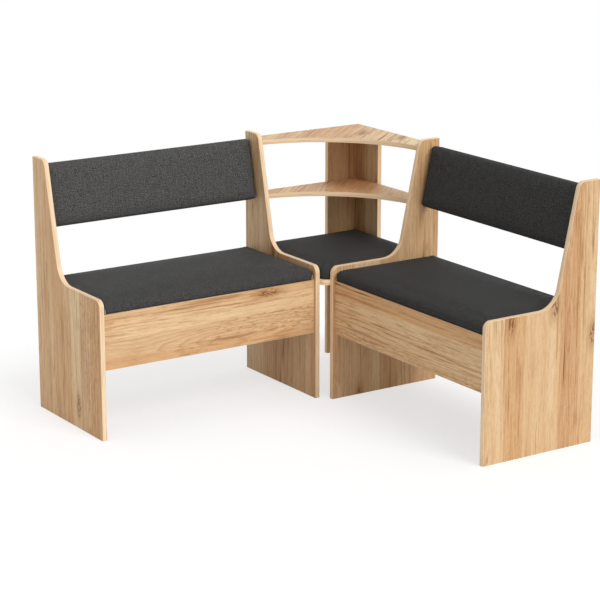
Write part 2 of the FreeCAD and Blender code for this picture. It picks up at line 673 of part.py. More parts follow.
def corner_unit(left_holes, right_holes):
    """The corner seat, its column and its shelves, between the two inner side panels."""
    dowels = []

    def peg(name, frame, *targets):
        pin, hole = dowel(name, frame)
        dowels.append(pin)
        for holes in targets:
            holes.append(hole)

    # Column of two boards in the corner
    left_column, right_column = [], []
    column_top = f"({SHELF_TOP} - board)"
    for number, share in enumerate(COLUMN_PEGS):
        frame = f"{CORNER} * {shift('-board / 2', '-board', f'{share} * {column_top}', ABOUT_X)}"
        peg(f"column_dowel_{number}", frame, left_column, right_column)

    # Shelves
    top_holes, middle_holes, seat_holes = [], [], []
    top_blank, top_band = curved_shelf("top_shelf", SHELF_TOP, "0")
    middle_blank, middle_band = curved_shelf("middle_shelf", MIDDLE_TOP, "board")
    for number, share in enumerate(COLUMN_TOP_PEGS):
        spot = f"-{share} * column_width"
        for wall, x, y, holes in (("left", spot, "-board / 2", left_column),
                                  ("right", "-board / 2", spot, right_column)):
            peg(f"top_{wall}_dowel_{number}", f"{CORNER} * {shift(x, y, column_top, OVER)}", top_holes, holes)
    for shelf, top, shares, holes in (
        ("top", SHELF_TOP, TOP_END_PEGS, top_holes),
        ("middle", MIDDLE_TOP, MIDDLE_END_PEGS, middle_holes),
    ):
        mid = f"{top} - board / 2"
        for number, share in enumerate(shares):
            spot = f"-{share} * shelf_end_depth"
            left_face = shift(f"-{CORNER_SPAN}", spot, mid, ABOUT_Y)
            right_face = shift(spot, f"-{CORNER_SPAN}", mid, ABOUT_X_BACK)
            peg(f"{shelf}_left_end_{number}", f"{CORNER} * {left_face}", left_holes, holes)
            peg(f"{shelf}_right_end_{number}", f"{CORNER} * {right_face}", right_holes, holes)
    for level, mid, holes in (
        ("middle", f"{MIDDLE_TOP} - board / 2", middle_holes),
        ("seat", f"{CORNER_TOP} - corner_board / 2", seat_holes),
    ):
        spot = f"-{COLUMN_SIDE_PEG} * column_width"
        peg(f"{level}_left_back", f"{CORNER} * {shift(spot, '-board', mid, ABOUT_X)}", left_column, holes)
        peg(f"{level}_right_back", f"{CORNER} * {shift('-board', spot, mid, ABOUT_Y_BACK)}",
            right_column, holes)
    keep("corner_top_shelf", cut("corner_top_shelf", top_blank, top_holes))
    keep("corner_middle_shelf", cut("corner_middle_shelf", middle_blank, middle_holes))
    keep("corner_shelf_edge_bands", group("corner_shelf_edge_bands", [top_band, middle_band]))

    left_board = block("left_column_blank", CORNER, ("band - column_width", "-board", 0),
                       ("column_width - band", "board", column_top))
    right_board = block("right_column_blank", CORNER, ("-board", "band - column_width", 0),
                        ("board", "column_width - band - board", column_top))
    keep("corner_column_left_board", cut("corner_column_left_board", left_board, left_column))
    keep("corner_column_right_board", cut("corner_column_right_board", right_board, right_column))
    keep("corner_column_edge_bands", group("corner_column_edge_bands", [
        block("left_column_band", CORNER, ("-column_width", "-board", 0), ("band", "board", column_top)),
        block("right_column_band", CORNER, ("-board", "-column_width", 0), ("board", "band", column_top)),
    ]))

    # Corner seat board with its rounded nose, in front of the column
    seat_low = (f"-{CORNER_SPAN}", f"-{CORNER_SPAN}", f"{CORNER_TOP} - corner_board")
    seat_side = f"({CORNER_SPAN} - board)"
    seat = block("corner_seat_blank", CORNER, seat_low, (seat_side, seat_side, "corner_board"))
    nose_centre = f"{CORNER} * {shift('-panel_depth', '-panel_depth', seat_low[2])}"
    nose_size = ("nose_radius", "nose_radius", "corner_board")
    nose_square = block("corner_nose_square", CORNER, seat_low, nose_size)
    nose_cut = cut("corner_nose_cut", nose_square,
                   [rod("corner_nose_round", nose_centre, "nose_radius - band", "corner_board")])
    keep("corner_seat_board", cut("corner_seat_board", seat, [nose_cut, *seat_holes]))
    band_square = block("corner_band_square", CORNER, seat_low, nose_size)
    band_ring = cut("corner_band_ring", rod("corner_band_outer", nose_centre, "nose_radius", "corner_board"),
                    [rod("corner_band_inner", nose_centre, "nose_radius - band", "corner_board")])
    nose_band = doc.addObject("Part::Common", "corner_nose_band")
    nose_band.Base = band_square
    nose_band.Tool = band_ring
    keep("corner_seat_edge_band", nose_band)

    # Cleats under the corner seat, screwed to the side panels and up into the seat board
    cleat_low = f"({CORNER_TOP} - corner_board - corner_cleat)"
    cleat_back = f"(corner_cleat_end_gap - {CORNER_SPAN})"
    cleats = [
        block("corner_cleat_left", CORNER, (f"-{CORNER_SPAN}", cleat_back, cleat_low),
              ("corner_cleat", CORNER_CLEAT_LENGTH, "corner_cleat")),
        block("corner_cleat_right", CORNER, (cleat_back, f"-{CORNER_SPAN}", cleat_low),
              (CORNER_CLEAT_LENGTH, "corner_cleat", "corner_cleat")),
    ]
    keep("corner_seat_cleats", group("corner_seat_cleats", cleats))
    screws = []
    inner = f"corner_cleat - {CORNER_SPAN}"
    mid = f"corner_cleat / 2 - {CORNER_SPAN}"
    for number, share in enumerate(CORNER_SIDE_SCREWS):
        run = f"{cleat_back} + {share} * {CORNER_CLEAT_LENGTH}"
        rise = f"{cleat_low} + corner_cleat / 2"
        screws.append(screw(f"corner_left_screw_{number}",
                            f"{CORNER} * {shift(inner, run, rise, ABOUT_Y)}", "long_screw"))
        screws.append(screw(f"corner_right_screw_{number}",
                            f"{CORNER} * {shift(run, inner, rise, ABOUT_X_BACK)}", "long_screw"))
    for number, share in enumerate(CORNER_RISING_SCREWS):
        run = f"{cleat_back} + {share} * {CORNER_CLEAT_LENGTH}"
        screws.append(screw(f"corner_left_rising_{number}",
                            f"{CORNER} * {shift(mid, run, cleat_low, OVER)}", "long_screw"))
        screws.append(screw(f"corner_right_rising_{number}",
                            f"{CORNER} * {shift(run, mid, cleat_low, OVER)}", "long_screw"))
    keep("corner_cleat_screws", group("corner_cleat_screws", screws))

    # Corner seat pad, rounded at the nose like its board
    pad_side = f"({CORNER_SPAN} - board - 2 * corner_pad_gap)"
    start = f"corner_pad_gap - {CORNER_SPAN}"
    pad_frame = f"{CORNER} * {shift(start, f'{start} + {pad_side}', CORNER_TOP)}"
    pad = cushion("corner_pad_blank", pad_frame, (pad_side, pad_side, "corner_edge"), "corner_crown", None)
    pad_square = block("corner_pad_square", CORNER, (start, start, CORNER_TOP),
                       ("nose_radius", "nose_radius", "2 * corner_edge"))
    round_centre = f"{start} + nose_radius"
    pad_round = rod("corner_pad_round", f"{CORNER} * {shift(round_centre, round_centre, CORNER_TOP)}",
                    "nose_radius", "2 * corner_edge")
    pad_nose = cut("corner_pad_nose", pad_square, [pad_round])
    keep("corner_seat_pad", cut("corner_seat_pad", pad, [pad_nose]))
    keep("corner_dowels", group("corner_dowels", dowels))


left_holes = bench("left", LEFT, "left_bench_length", ("outer", "inner"))
right_holes = bench("right", RIGHT, "right_bench_length", ("inner", "outer"))
corner_unit(left_holes["inner"], right_holes["inner"])
side_panel("left", "outer", LEFT, left_holes["outer"])
side_panel("left", "inner", f"{LEFT} * {shift('left_bench_length - board', 0, 0)}", left_holes["inner"])
side_panel("right", "inner", RIGHT, right_holes["inner"])
side_panel("right", "outer", f"{RIGHT} * {shift('right_bench_length - board', 0, 0)}", right_holes["outer"])
doc.removeObject("Probe")
doc.recompute()

# Nothing is written unless every object and every shape is sound
for piece in doc.Objects:
    if {"Invalid", "Error"} & set(piece.State):
        raise RuntimeError(f"{piece.Name} failed: {piece.State}")
for piece in kept:
    if piece.Shape.isNull() or not piece.Shape.isValid() or not piece.Shape.Solids:
        raise RuntimeError(f"{piece.Label} has no sound shape")
os.makedirs("parts", exist_ok=True)
for piece in kept:
    piece.Shape.exportStep(f"parts/{piece.Label}.step")
print(len(kept), "nodes,", sum(len(piece.Shape.Solids) for piece in kept), "solids")
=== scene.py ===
import math

import bmesh
import bpy
import numpy as np
from mathutils import Matrix, Vector


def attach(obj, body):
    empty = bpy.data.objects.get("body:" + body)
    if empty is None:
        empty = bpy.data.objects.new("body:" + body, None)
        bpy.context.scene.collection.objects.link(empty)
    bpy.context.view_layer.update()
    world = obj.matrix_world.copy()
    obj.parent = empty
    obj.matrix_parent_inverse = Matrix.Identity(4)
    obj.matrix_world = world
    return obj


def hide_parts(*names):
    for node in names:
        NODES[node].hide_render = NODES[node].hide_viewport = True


# Corner storage bench: oak boards, anthracite pads, steel fittings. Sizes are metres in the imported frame.
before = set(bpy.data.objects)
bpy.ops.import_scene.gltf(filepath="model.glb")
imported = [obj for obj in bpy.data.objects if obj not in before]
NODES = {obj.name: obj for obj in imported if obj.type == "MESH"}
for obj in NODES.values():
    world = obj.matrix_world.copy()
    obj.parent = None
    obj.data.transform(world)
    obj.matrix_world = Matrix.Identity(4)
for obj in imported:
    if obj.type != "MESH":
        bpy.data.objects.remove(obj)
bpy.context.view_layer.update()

# The camera of the photograph
YAW, PITCH, LENS = 0.58631, 0.26398, 126.376
CAMERA_AT = (-3.6310, -5.4159, 2.1790)
looks_along = Vector((math.sin(YAW) * math.cos(PITCH), math.cos(YAW) * math.cos(PITCH), -math.sin(PITCH)))
camera = bpy.data.objects.new("photo_camera", bpy.data.cameras.new("photo_camera"))
camera.data.lens = LENS
camera.data.sensor_width = 36
camera.location = CAMERA_AT
camera.rotation_mode = "QUATERNION"
camera.rotation_quaternion = looks_along.to_track_quat("-Z", "Y")
bpy.context.scene.collection.objects.link(camera)
bpy.context.scene.camera = camera

# Sizes of a bench in its own frame: X along its wall, Y towards the wall, Z up
BENCH, BOARD, BAND = 0.830, 0.016, 0.001
HEIGHT, ARM_HEIGHT = 0.850, 0.460
PANEL_DEPTH, HIP_DEPTH, TOP_DEPTH = 0.435, 0.162, 0.079
TOP_ROUND, HIP_ROUND, FRONT_ROUND = 0.026, 0.075, 0.025
SLOPE = (HIP_DEPTH - TOP_DEPTH) / (HEIGHT - ARM_HEIGHT)
APRON, APRON_FRONT = (0.228, 0.412), 0.425
LID_BOTTOM = 0.414
# The corner unit, and where the benches and the corner stand
CORNER_SPAN, CORNER_BOARD, NOSE = 0.460, 0.019, 0.025
SHELF_TOPS, SHELF_RADIUS, SHELF_END = (0.826, 0.636), 0.425, 0.075
COLUMN_WIDTH = 0.143
SHELF_GRAIN = -0.72
HALF = 0.645
PLACES = {
    "left": Matrix.Translation((-HALF, HALF, 0)),
    "right": Matrix.Translation((HALF, HALF - CORNER_SPAN, 0)) @ Matrix.Rotation(-math.pi / 2, 4, "Z"),
}
CORNER = Matrix.Translation((HALF, HALF, 0))
# The backrest's frame: its pad's front at Y 0, its board's back at BACK_THICK, Z up the lean
BACK_THICK, BACK_TALL = 0.042, 0.210
BACK_DROP, BACK_SET_IN = 0.018, 0.0385
BACK_HEAD = TOP_DEPTH + SLOPE * BACK_DROP - BACK_SET_IN
BACK = Matrix.Translation((0, -BACK_HEAD, HEIGHT - BACK_DROP)) @ Matrix.Rotation(-math.atan(SLOPE), 4, "X")
# The pads, before the cloth swells them; rolls are of the front, back and side edges
PLAY = 0.003
PAD_WIDTH = BENCH - 2 * BOARD - 2 * PLAY
PADS = {
    "seat": dict(
        width=PAD_WIDTH, depth=0.408, height=0.0375, crown=0.0065, waist=0.001,
        rolls=(0.023, 0.010, 0.014), corners=[0.010] * 4, held_below=0.020, travel=0.004,
        under=0.0006, top=0.0485, fold=0.0425, cut_at=(0, 0),
    ),
    "back": dict(
        width=PAD_WIDTH, depth=BACK_TALL, height=0.0385, crown=0.0025, waist=0.0005,
        rolls=(0.011, 0.011, 0.012), corners=[0.011] * 4, held_below=0.024, travel=0.003,
        under=0.0006, top=0.0452, fold=0.042, cut_at=(0.9, 0.2),
    ),
    "corner": dict(
        width=0.440, depth=0.440, height=0.0390, crown=0.0075, waist=0.001,
        rolls=(0.015, 0.012, 0.015), corners=[0.026, 0.010, 0.010, 0.010], held_below=0.018, travel=0.004,
        under=0.0002, top=0.0505, fold=0.043, cut_at=(0.4, 1.1),
    ),
}
TUCKED_LOOPS = (-0.008, 0.0042), (-0.002, 0.0030), (0.006, 0.0016), (0.012, 0.0004)
SEAT_GAP, CORNER_PAD_AT = 0.022, (0.187, 0.627)
HEMS = {"seat": (0.011, 0.026), "back": (0.012, 0.024)}
# The light: the sky's strength, the lamp's width and strength, and the floor's fade to white
SKY_LIGHT, LAMP_WIDTH, LAMP_LIGHT = 0.66, math.radians(34), 1.62
LAMP_AT = (1.0, -6.0, 4.4)
FLOOR_HALF, FADE_START, FADE_END = 9.0, 0.95, 1.9


# ---- small tools

def shade(red, green, blue):
    """A colour as it is seen, in 0 to 255, as the numbers a shader takes."""
    parts = [c / 255 for c in (red, green, blue)]
    return [c / 12.92 if c <= 0.04045 else ((c + 0.055) / 1.055) ** 2.4 for c in parts] + [1.0]


def piece_of(name, mesh):
    piece = bpy.data.objects.new(name, mesh)
    bpy.context.scene.collection.objects.link(piece)
    return piece


def drawn(name, points, edges=(), faces=()):
    mesh = bpy.data.meshes.new(name)
    mesh.from_pydata(points, edges, faces)
    return piece_of(name, mesh)


def mark(piece, label, kind, values):
    """Writes a value or a vector for each point of a piece, for a tree to read."""
    field = "value" if kind == "FLOAT" else "vector"
    piece.data.attributes.new(label, kind, "POINT").data.foreach_set(field, values)


def mesh_of(name, work):
    """The mesh of a finished bmesh, with its faces turned outwards."""
    bmesh.ops.recalc_face_normals(work, faces=work.faces)
    mesh = bpy.data.meshes.new(name)
    work.to_mesh(mesh)
    work.free()
    return mesh


def wall(work, first, second):
    """Faces between two closed loops with the same number of points."""
    for n in range(len(first)):
        after = (n + 1) % len(first)
        work.faces.new((first[n], first[after], second[after], second[n]))


def applied(piece):
    """The mesh that a piece's modifiers make, with the modifiers taken off."""
    bpy.context.view_layer.update()
    graph = bpy.context.evaluated_depsgraph_get()
    mesh = bpy.data.meshes.new_from_object(piece.evaluated_get(graph), depsgraph=graph)
    piece.modifiers.clear()
    return mesh


def fitted(piece, body, stands_for=(), material=None, smooth=True):
    """Gives a piece its body, its look and the nodes it stands for."""
    if material is not None:
        piece.data.materials.clear()
        piece.data.materials.append(material)
    if smooth:
        piece.data.shade_smooth()
    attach(piece, body)
    if stands_for:
        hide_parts(*stands_for)
    return piece


class Wiring:
    """Adds nodes to a tree; each call joins or sets a node's inputs and gives one of its outputs."""

    def __init__(self, tree):
        self.tree = tree

    def add(self, kind, inputs=(), out=0, **settings):
        node = self.tree.nodes.new(kind)
        for name, setting in settings.items():
            setattr(node, name, setting)
        for key, given in dict(inputs).items():
            if isinstance(given, bpy.types.NodeSocket):
                self.tree.links.new(given, node.inputs[key])
            else:
                node.inputs[key].default_value = given
        return node.outputs[out]

    def geo(self, kind, inputs=(), out=0, **settings):
        return self.add("GeometryNode" + kind, inputs, out, **settings)

    def named(self, label, kind="FLOAT"):
        return self.geo("InputNamedAttribute", {"Name": label}, data_type=kind)

    def store(self, shape, label, value, kind="FLOAT"):
        inputs = {"Geometry": shape, "Name": label, "Value": value}
        return self.geo("StoreNamedAttribute", inputs, data_type=kind, domain="POINT")

    def give(self, result, socket):
        self.tree.links.new(result, socket)

    def math(self, operation, *values):
        return self.add("ShaderNodeMath", enumerate(values), operation=operation)

    def minus(self, first, second):
        return self.math("SUBTRACT", first, second)

    def absolute(self, amount):
        return self.math("ABSOLUTE", amount)

    def times(self, *factors):
        return self.math("MULTIPLY", *factors)

    def times_plus(self, first, second, more):
        return self.math("MULTIPLY_ADD", first, second, more)

    def vector(self, operation, *values, out=0):
        return self.add("ShaderNodeVectorMath", enumerate(values), out, operation=operation)

    def scaled(self, vector, factor):
        return self.add("ShaderNodeVectorMath", {0: vector, "Scale": factor}, operation="SCALE")

    def split(self, vector):
        node = self.add("ShaderNodeSeparateXYZ", {0: vector}).node
        return node.outputs[0], node.outputs[1], node.outputs[2]

    def join(self, x, y, z):
        return self.add("ShaderNodeCombineXYZ", {0: x, 1: y, 2: z})

    def noise(self, place, stretch, detail=2.0, rough=0.5, out=0):
        spot = self.vector("MULTIPLY", place, stretch)
        inputs = {"Vector": spot, "Scale": 1, "Detail": detail, "Roughness": rough}
        return self.add("ShaderNodeTexNoise", inputs, out)

    def cells(self, place, stretch, dimensions="3D"):
        inputs = {"Vector": self.vector("MULTIPLY", place, stretch), "Scale": 1}
        return self.add("ShaderNodeTexVoronoi", inputs, voronoi_dimensions=dimensions).node.outputs

    def step(self, amount, low, high):
        """0 below low and 1 above high, or the other way round where low is above high."""
        if low > high:
            inputs = {0: amount, 1: high, 2: low, 3: 1.0, 4: 0.0}
        else:
            inputs = {0: amount, 1: low, 2: high, 3: 0.0, 4: 1.0}
        return self.add("ShaderNodeMapRange", inputs, interpolation_type="SMOOTHSTEP")

    def mix(self, share, first, second, mode="MIX"):
        inputs = {0: share, 6: first, 7: second}
        return self.add("ShaderNodeMix", inputs, 2, data_type="RGBA", blend_type=mode)

    def tint(self, color, other, *shares):
        """A colour with some of another mixed in, by the product of two shares."""
        return self.mix(self.times(*shares), color, other)

    def place(self):
        return self.add("ShaderNodeTexCoord", out=3)

    def centred(self, place, stretch, detail):
        """A noise of three values round zero."""
        return self.vector("SUBTRACT", self.noise(place, stretch, detail, out=1), (0.5, 0.5, 0.5))

    def figure(self, group, place):
        return self.add("ShaderNodeGroup", {"Place": place}, node_tree=group).node.outputs

    def dress(self, shader, color, rough, relief, depth, strength=1.0):
        """Gives a shader its colour, its roughness if it varies, and its relief, depth in metres."""
        self.give(color, shader["Base Color"])
        if rough is not None:
            self.give(rough, shader["Roughness"])
        bump = self.add("ShaderNodeBump", {"Strength": strength, "Distance": depth, "Height": relief})
        self.give(bump, shader["Normal"])


def figure_group(name, results):
    """A shader group that takes a place and gives the named results."""
    tree = bpy.data.node_groups.new(name, "ShaderNodeTree")
    tree.interface.new_socket("Place", in_out="INPUT", socket_type="NodeSocketVector")
    for label, kind in results:
        tree.interface.new_socket(label, in_out="OUTPUT", socket_type=f"NodeSocket{kind}")
    place = tree.nodes.new("NodeGroupInput").outputs["Place"]
    return Wiring(tree), place, tree.nodes.new("NodeGroupOutput").inputs


def finish_of(name, roughness=0.5, metallic=0.0, specular=0.5, sheen=0.0):
    """A new material, its wiring and its shader's inputs; the plain numbers go on the shader itself."""
    material = bpy.data.materials.new(name)
    material.use_nodes = True
    shader = material.node_tree.nodes["Principled BSDF"].inputs
    shader["Roughness"].default_value = roughness
    shader["Metallic"].default_value = metallic
    shader["Specular IOR Level"].default_value = specular
    shader["Sheen Weight"].default_value = sheen
    return material, Wiring(material.node_tree), shader


# ---- the finishes

PALE_OAK = shade(240, 213, 170)
WARM_OAK = shade(221, 178, 130)
PINK_OAK = shade(209, 158, 113)
DEEP_OAK = shade(166, 110, 62)
CRACK_OAK = shade(112, 66, 33)


def oak_figure():
    """The oak's figure, X along the grain: strips of their own tone, arches, streaks, cracks and knots."""
    results = [("Color", "Color"), ("Roughness", "Float"), ("Height", "Float")]
    w, place, given = figure_group("oak_figure", results)
    place = w.vector("MULTIPLY_ADD", w.centred(place, (1.5, 5, 5), 2.0), (0, 0.030, 0.05), place)
    x, y, z = w.split(place)
    # Strips of uneven width, each with its own tone and its own piece of the figure
    strips = {"W": y, "Scale": 13.0, "Randomness": 0.9}
    strips = w.add("ShaderNodeTexVoronoi", strips, voronoi_dimensions="1D").node.outputs
    chance_x, chance_y, chance_z = w.split(strips["Color"])
    own_y = w.minus(y, strips["W"])
    swell = w.minus(w.noise(w.join(x, chance_x, chance_y), (1.3, 9, 9), 1.0), 0.5)
    own_z = w.times_plus(swell, 0.16, w.times_plus(chance_z, 0.05, 0.008))
    own = w.join(w.times_plus(chance_x, 3.0, x), own_y, own_z)
    rings = {"Vector": w.vector("MULTIPLY", own, (0.10, 1, 1)), "Scale": 34, "Distortion": 3.5,
             "Detail": 3, "Detail Scale": 1.2, "Detail Roughness": 0.6}
    rings = w.add("ShaderNodeTexWave", rings, 1, wave_type="RINGS", rings_direction="X", wave_profile="SAW")
    late_wood = w.math("POWER", rings, 3.0)
    figured = w.step(chance_y, 0.45, 0.75)
    rough_strip = w.step(w.noise(w.join(x, chance_z, chance_x), (2.0, 9, 9), 1.0), 0.48, 0.60)
    knots = w.cells(own, (2.4, 7.0, 1), "2D")
    knot_far = knots["Distance"]
    chosen = w.math("GREATER_THAN", w.split(knots["Color"])[0], 0.72)
    tone = w.times_plus(w.noise(place, (0.9, 13, 13), 2.0), 0.9, w.times_plus(chance_x, 0.55, -0.27))
    color = w.mix(w.step(tone, 0.15, 0.75), PALE_OAK, WARM_OAK)
    color = w.tint(color, PINK_OAK, figured, 0.45)
    color = w.tint(color, DEEP_OAK, late_wood, w.times_plus(figured, 0.32, 0.10))
    # Streaks gather in places
    gather = w.step(w.noise(place, (1.1, 11, 11), 2.0), 0.42, 0.62)
    streaks = w.step(w.noise(place, (2.4, 120, 120), 3.0, 0.6), 0.46, 0.70)
    color = w.tint(color, DEEP_OAK, streaks, w.times_plus(gather, 0.50, 0.20))
    # Short broken streaks, and curly rough grain
    broken_grain = w.step(w.noise(place, (11, 150, 150), 4.0, 0.7), 0.50, 0.68)
    color = w.tint(color, DEEP_OAK, broken_grain, w.times_plus(gather, 0.30, 0.24))
    curls = w.step(w.noise(place, (42, 230, 230), 3.0, 0.65), 0.50, 0.64)
    curly = w.times(curls, w.times_plus(w.times(rough_strip, figured), 0.50, 0.14))
    color = w.mix(curly, color, DEEP_OAK)
    fine = w.noise(place, (14, 900, 900), 2.0, 0.6)
    color = w.tint(color, DEEP_OAK, w.step(fine, 0.45, 0.75), 0.16)
    pores = w.step(w.noise(place, (60, 1500, 1500), 1.0), 0.60, 0.72)
    color = w.tint(color, CRACK_OAK, pores, 0.2)
    # Long tapering cracks, soft brown round a dark middle
    peak = w.noise(place, (1.9, 74, 74), 0.8, 0.45)
    where = w.step(w.noise(place, (0.8, 6, 6), 1.0), 0.38, 0.58)
    soft = w.times(w.step(peak, 0.62, 0.76), where)
    crack = w.times(w.step(peak, 0.735, 0.785), where)
    hair = w.minus(w.noise(place, (0.9, 34, 34), 0.0), 0.5)
    hair = w.step(w.absolute(hair), 0.012, 0.003)
    hair = w.times(hair, w.step(w.noise(place, (2.4, 14, 14), 1.0), 0.56, 0.66))
    color = w.tint(color, DEEP_OAK, soft, 0.60)
    color = w.tint(color, CRACK_OAK, w.math("MAXIMUM", crack, w.times(hair, 0.6)), 0.75)
    # Knots with a broken heart, and the grain darker round them
    broken = w.step(w.noise(place, (75, 230, 230), 2.0), 0.44, 0.58)
    near = w.times(w.step(knot_far, 0.24, 0.04), chosen)
    heart = w.times(w.times(w.step(knot_far, 0.13, 0.04), chosen), broken)
    color = w.tint(color, DEEP_OAK, near, 0.45)
    color = w.tint(color, CRACK_OAK, heart, 0.80)
    marks = w.math("MAXIMUM", crack, heart)
    w.give(color, given["Color"])
    w.give(w.times_plus(streaks, 0.10, 0.44), given["Roughness"])
    height = w.times_plus(fine, 0.35, w.times(streaks, -0.15))
    height = w.minus(height, w.math("ADD", w.times(pores, 0.5), marks))
    w.give(height, given["Height"])
    return w.tree


def chip_figure():
    """Pressed chips, as on a raw board: flat flakes of several tans with dark specks."""
    w, place, given = figure_group("chip_figure", [("Color", "Color"), ("Height", "Float")])
    place = w.vector("MULTIPLY_ADD", w.centred(place, (90, 90, 90), 2.0), (0.006, 0.006, 0.006), place)
    large = w.cells(place, (170, 230, 420))
    small = w.cells(place, (520, 610, 900))
    tone = w.split(large["Color"])[0]
    tiny = w.split(small["Color"])[1]
    color = w.mix(tone, shade(206, 172, 128), shade(166, 126, 84))
    color = w.tint(color, shade(222, 194, 152), w.step(tiny, 0.4, 1.0), 0.55)
    color = w.tint(color, shade(96, 66, 42), w.math("GREATER_THAN", tiny, 0.93), 0.7)
    w.give(color, given["Color"])
    height = w.math("ADD", tone, w.times(small["Distance"], -0.6))
    w.give(height, given["Height"])
    return w.tree


OAK_FIGURE = oak_figure()
CHIP_FIGURE = chip_figure()
CHIP_ROUGH = 0.85


def oak_board(name, along, across, shift, turn=0.0, tone=1.0):
    """Oak foil on both faces of a board and chips on its raw edges; along and across are the face's axes; a
    tone below 1 darkens the foil as painted shade.
    """
    material, w, shader = finish_of(f"oak_{name}", specular=0.22)
    along, across = Vector(along), Vector(across)
    through = along.cross(across)
    where = w.add("ShaderNodeTexCoord").node.outputs
    spin = (Matrix.Rotation(turn, 3, "Z") @ Matrix((along, across, through))).to_euler()
    spot = w.add("ShaderNodeMapping", {"Vector": where["Object"], "Location": shift, "Rotation": spin})
    oak, chips = w.figure(OAK_FIGURE, spot), w.figure(CHIP_FIGURE, spot)
    facing = w.vector("DOT_PRODUCT", where["Normal"], through, out=1)
    foil = w.math("GREATER_THAN", w.absolute(facing), 0.7)
    # tone darkens the whole foil's colour: painted shade
    oak_with_painted_shade = w.mix(1.0, oak["Color"], [tone, tone, tone, 1.0], "MULTIPLY")
    rough = w.times_plus(foil, w.minus(oak["Roughness"], CHIP_ROUGH), CHIP_ROUGH)
    relief = w.times_plus(chips["Height"], w.minus(1.0, foil), w.times(oak["Height"], foil))
    w.dress(shader, w.mix(foil, chips["Color"], oak_with_painted_shade), rough, relief, 0.00012, 0.8)
    return material


def oak_edge():
    """The edge band: paler oak with its grain along the run of the band."""
    material, w, shader = finish_of("oak_edge")
    run = w.add("ShaderNodeAttribute", attribute_name="band_run").node.outputs["Vector"]
    broad = w.step(w.noise(run, (2.2, 90, 1), 2.0), 0.30, 0.75)
    fine = w.noise(run, (16, 700, 1), 2.0, 0.6)
    dark = w.step(w.noise(run, (9, 240, 1), 1.0), 0.64, 0.70)
    color = w.mix(broad, shade(246, 220, 184), shade(232, 196, 154))
    color = w.tint(color, shade(186, 138, 92), w.step(fine, 0.45, 0.75), 0.25)
    color = w.tint(color, DEEP_OAK, dark, 0.35)
    w.dress(shader, color, w.times_plus(fine, 0.2, 0.34), fine, 0.00008, 0.6)
    return material


YARN_PITCH = 0.0016


def woven_fabric(name, tone):
    """Anthracite plain weave of two close greys with slubs, on the cloth's own map in metres; tone brightens
    or darkens it as painted light and shade.
    """
    material, w, shader = finish_of(name, roughness=0.7, specular=0.12)
    cloth = w.add("ShaderNodeUVMap", uv_map="cloth")
    bent = w.vector("MULTIPLY_ADD", w.centred(cloth, (60, 60, 1), 1.0), (0.0012, 0.0012, 0), cloth)
    u, v, _ = w.split(w.scaled(bent, 1 / YARN_PITCH))
    hill_u = w.math("SINE", w.times(u, math.pi))
    hill_v = w.math("SINE", w.times(v, math.pi))
    warp_over = w.math("GREATER_THAN", w.times(hill_u, hill_v), 0.0)
    round_u = w.absolute(hill_u)
    round_v = w.absolute(hill_v)
    warp_hill = w.times(round_u, w.math("POWER", round_v, 0.4))
    weft_hill = w.times(round_v, w.math("POWER", round_u, 0.4))
    hill = w.math("ADD", w.times(warp_hill, warp_over), w.times(weft_hill, w.minus(1.0, warp_over)))
    warp_yarn = w.noise(w.join(u, v, 3.7), (0.9, 0.045, 1), 2.0)
    weft_yarn = w.noise(w.join(u, v, 9.1), (0.045, 0.9, 1), 2.0)
    yarn = w.step(w.mix(warp_over, weft_yarn, warp_yarn), 0.30, 0.72)
    mottle = w.noise(cloth, (240, 290, 1), 3.0, 0.8)
    color = w.mix(yarn, shade(36, 36, 37), shade(80, 79, 78))
    color = w.tint(color, shade(106, 105, 103), w.step(mottle, 0.48, 0.60), 0.62)
    color = w.tint(color, shade(20, 20, 21), w.step(mottle, 0.46, 0.36), 0.7)
    # Painted shade in the hollows between the yarns
    color = w.tint(color, shade(18, 18, 19), w.step(hill, 0.55, 0.1), 0.55)
    # The whole colour scaled by tone: painted light and shade, brighter for pads that face the lamp
    color = w.mix(1.0, color, [tone, tone, tone, 1.0], "MULTIPLY")
    w.dress(shader, color, None, w.times_plus(mottle, 0.5, hill), 0.00035, 0.9)
    return material


def raw_chip_board():
    material, w, shader = finish_of("raw_chip_board", roughness=0.88, specular=0.3)
    chips = w.figure(CHIP_FIGURE, w.place())
    w.dress(shader, chips["Color"], None, chips["Height"], 0.0002)
    return material


def hard_board():
    """Brown fibreboard with a smooth top and the print of a mesh below."""
    material, w, shader = finish_of("brown_hardboard", specular=0.35)
    where = w.add("ShaderNodeTexCoord").node.outputs
    place = where["Object"]
    fibres = w.noise(place, (420, 420, 420), 4.0, 0.7)
    clouds = w.noise(place, (11, 11, 11), 3.0)
    color = w.mix(w.step(fibres, 0.3, 0.7), shade(112, 76, 48), shade(150, 108, 70))
    color = w.tint(color, shade(96, 62, 38), w.step(clouds, 0.35, 0.7), 0.4)
    below = w.step(w.vector("DOT_PRODUCT", where["Normal"], (0, 0, 1), out=1), -0.3, -0.6)
    x, y, _ = w.split(w.scaled(place, 1100))
    mesh = w.times(w.absolute(w.math("SINE", x)), w.absolute(w.math("SINE", y)))
    relief = w.math("ADD", w.times(mesh, below), w.times(fibres, 0.5))
    w.dress(shader, color, w.times_plus(below, 0.35, 0.5), relief, 0.0002, 0.7)
    return material


def plain_wood(name, pale, dark, stretch, pores):
    """A simple wood, with the grain along the shortest stretch; pores draw short dark flecks."""
    material, w, shader = finish_of(name, specular=0.35)
    place = w.place()
    lines = w.step(w.noise(place, stretch, 2.0, 0.6), 0.35, 0.7)
    fine = w.noise(place, tuple(6 * s for s in stretch), 2.0)
    color = w.mix(lines, pale, dark)
    color = w.tint(color, shade(120, 78, 44), w.step(fine, 0.5, 0.75), pores)
    w.dress(shader, color, w.times_plus(fine, 0.2, 0.52), fine, 0.00015)
    return material


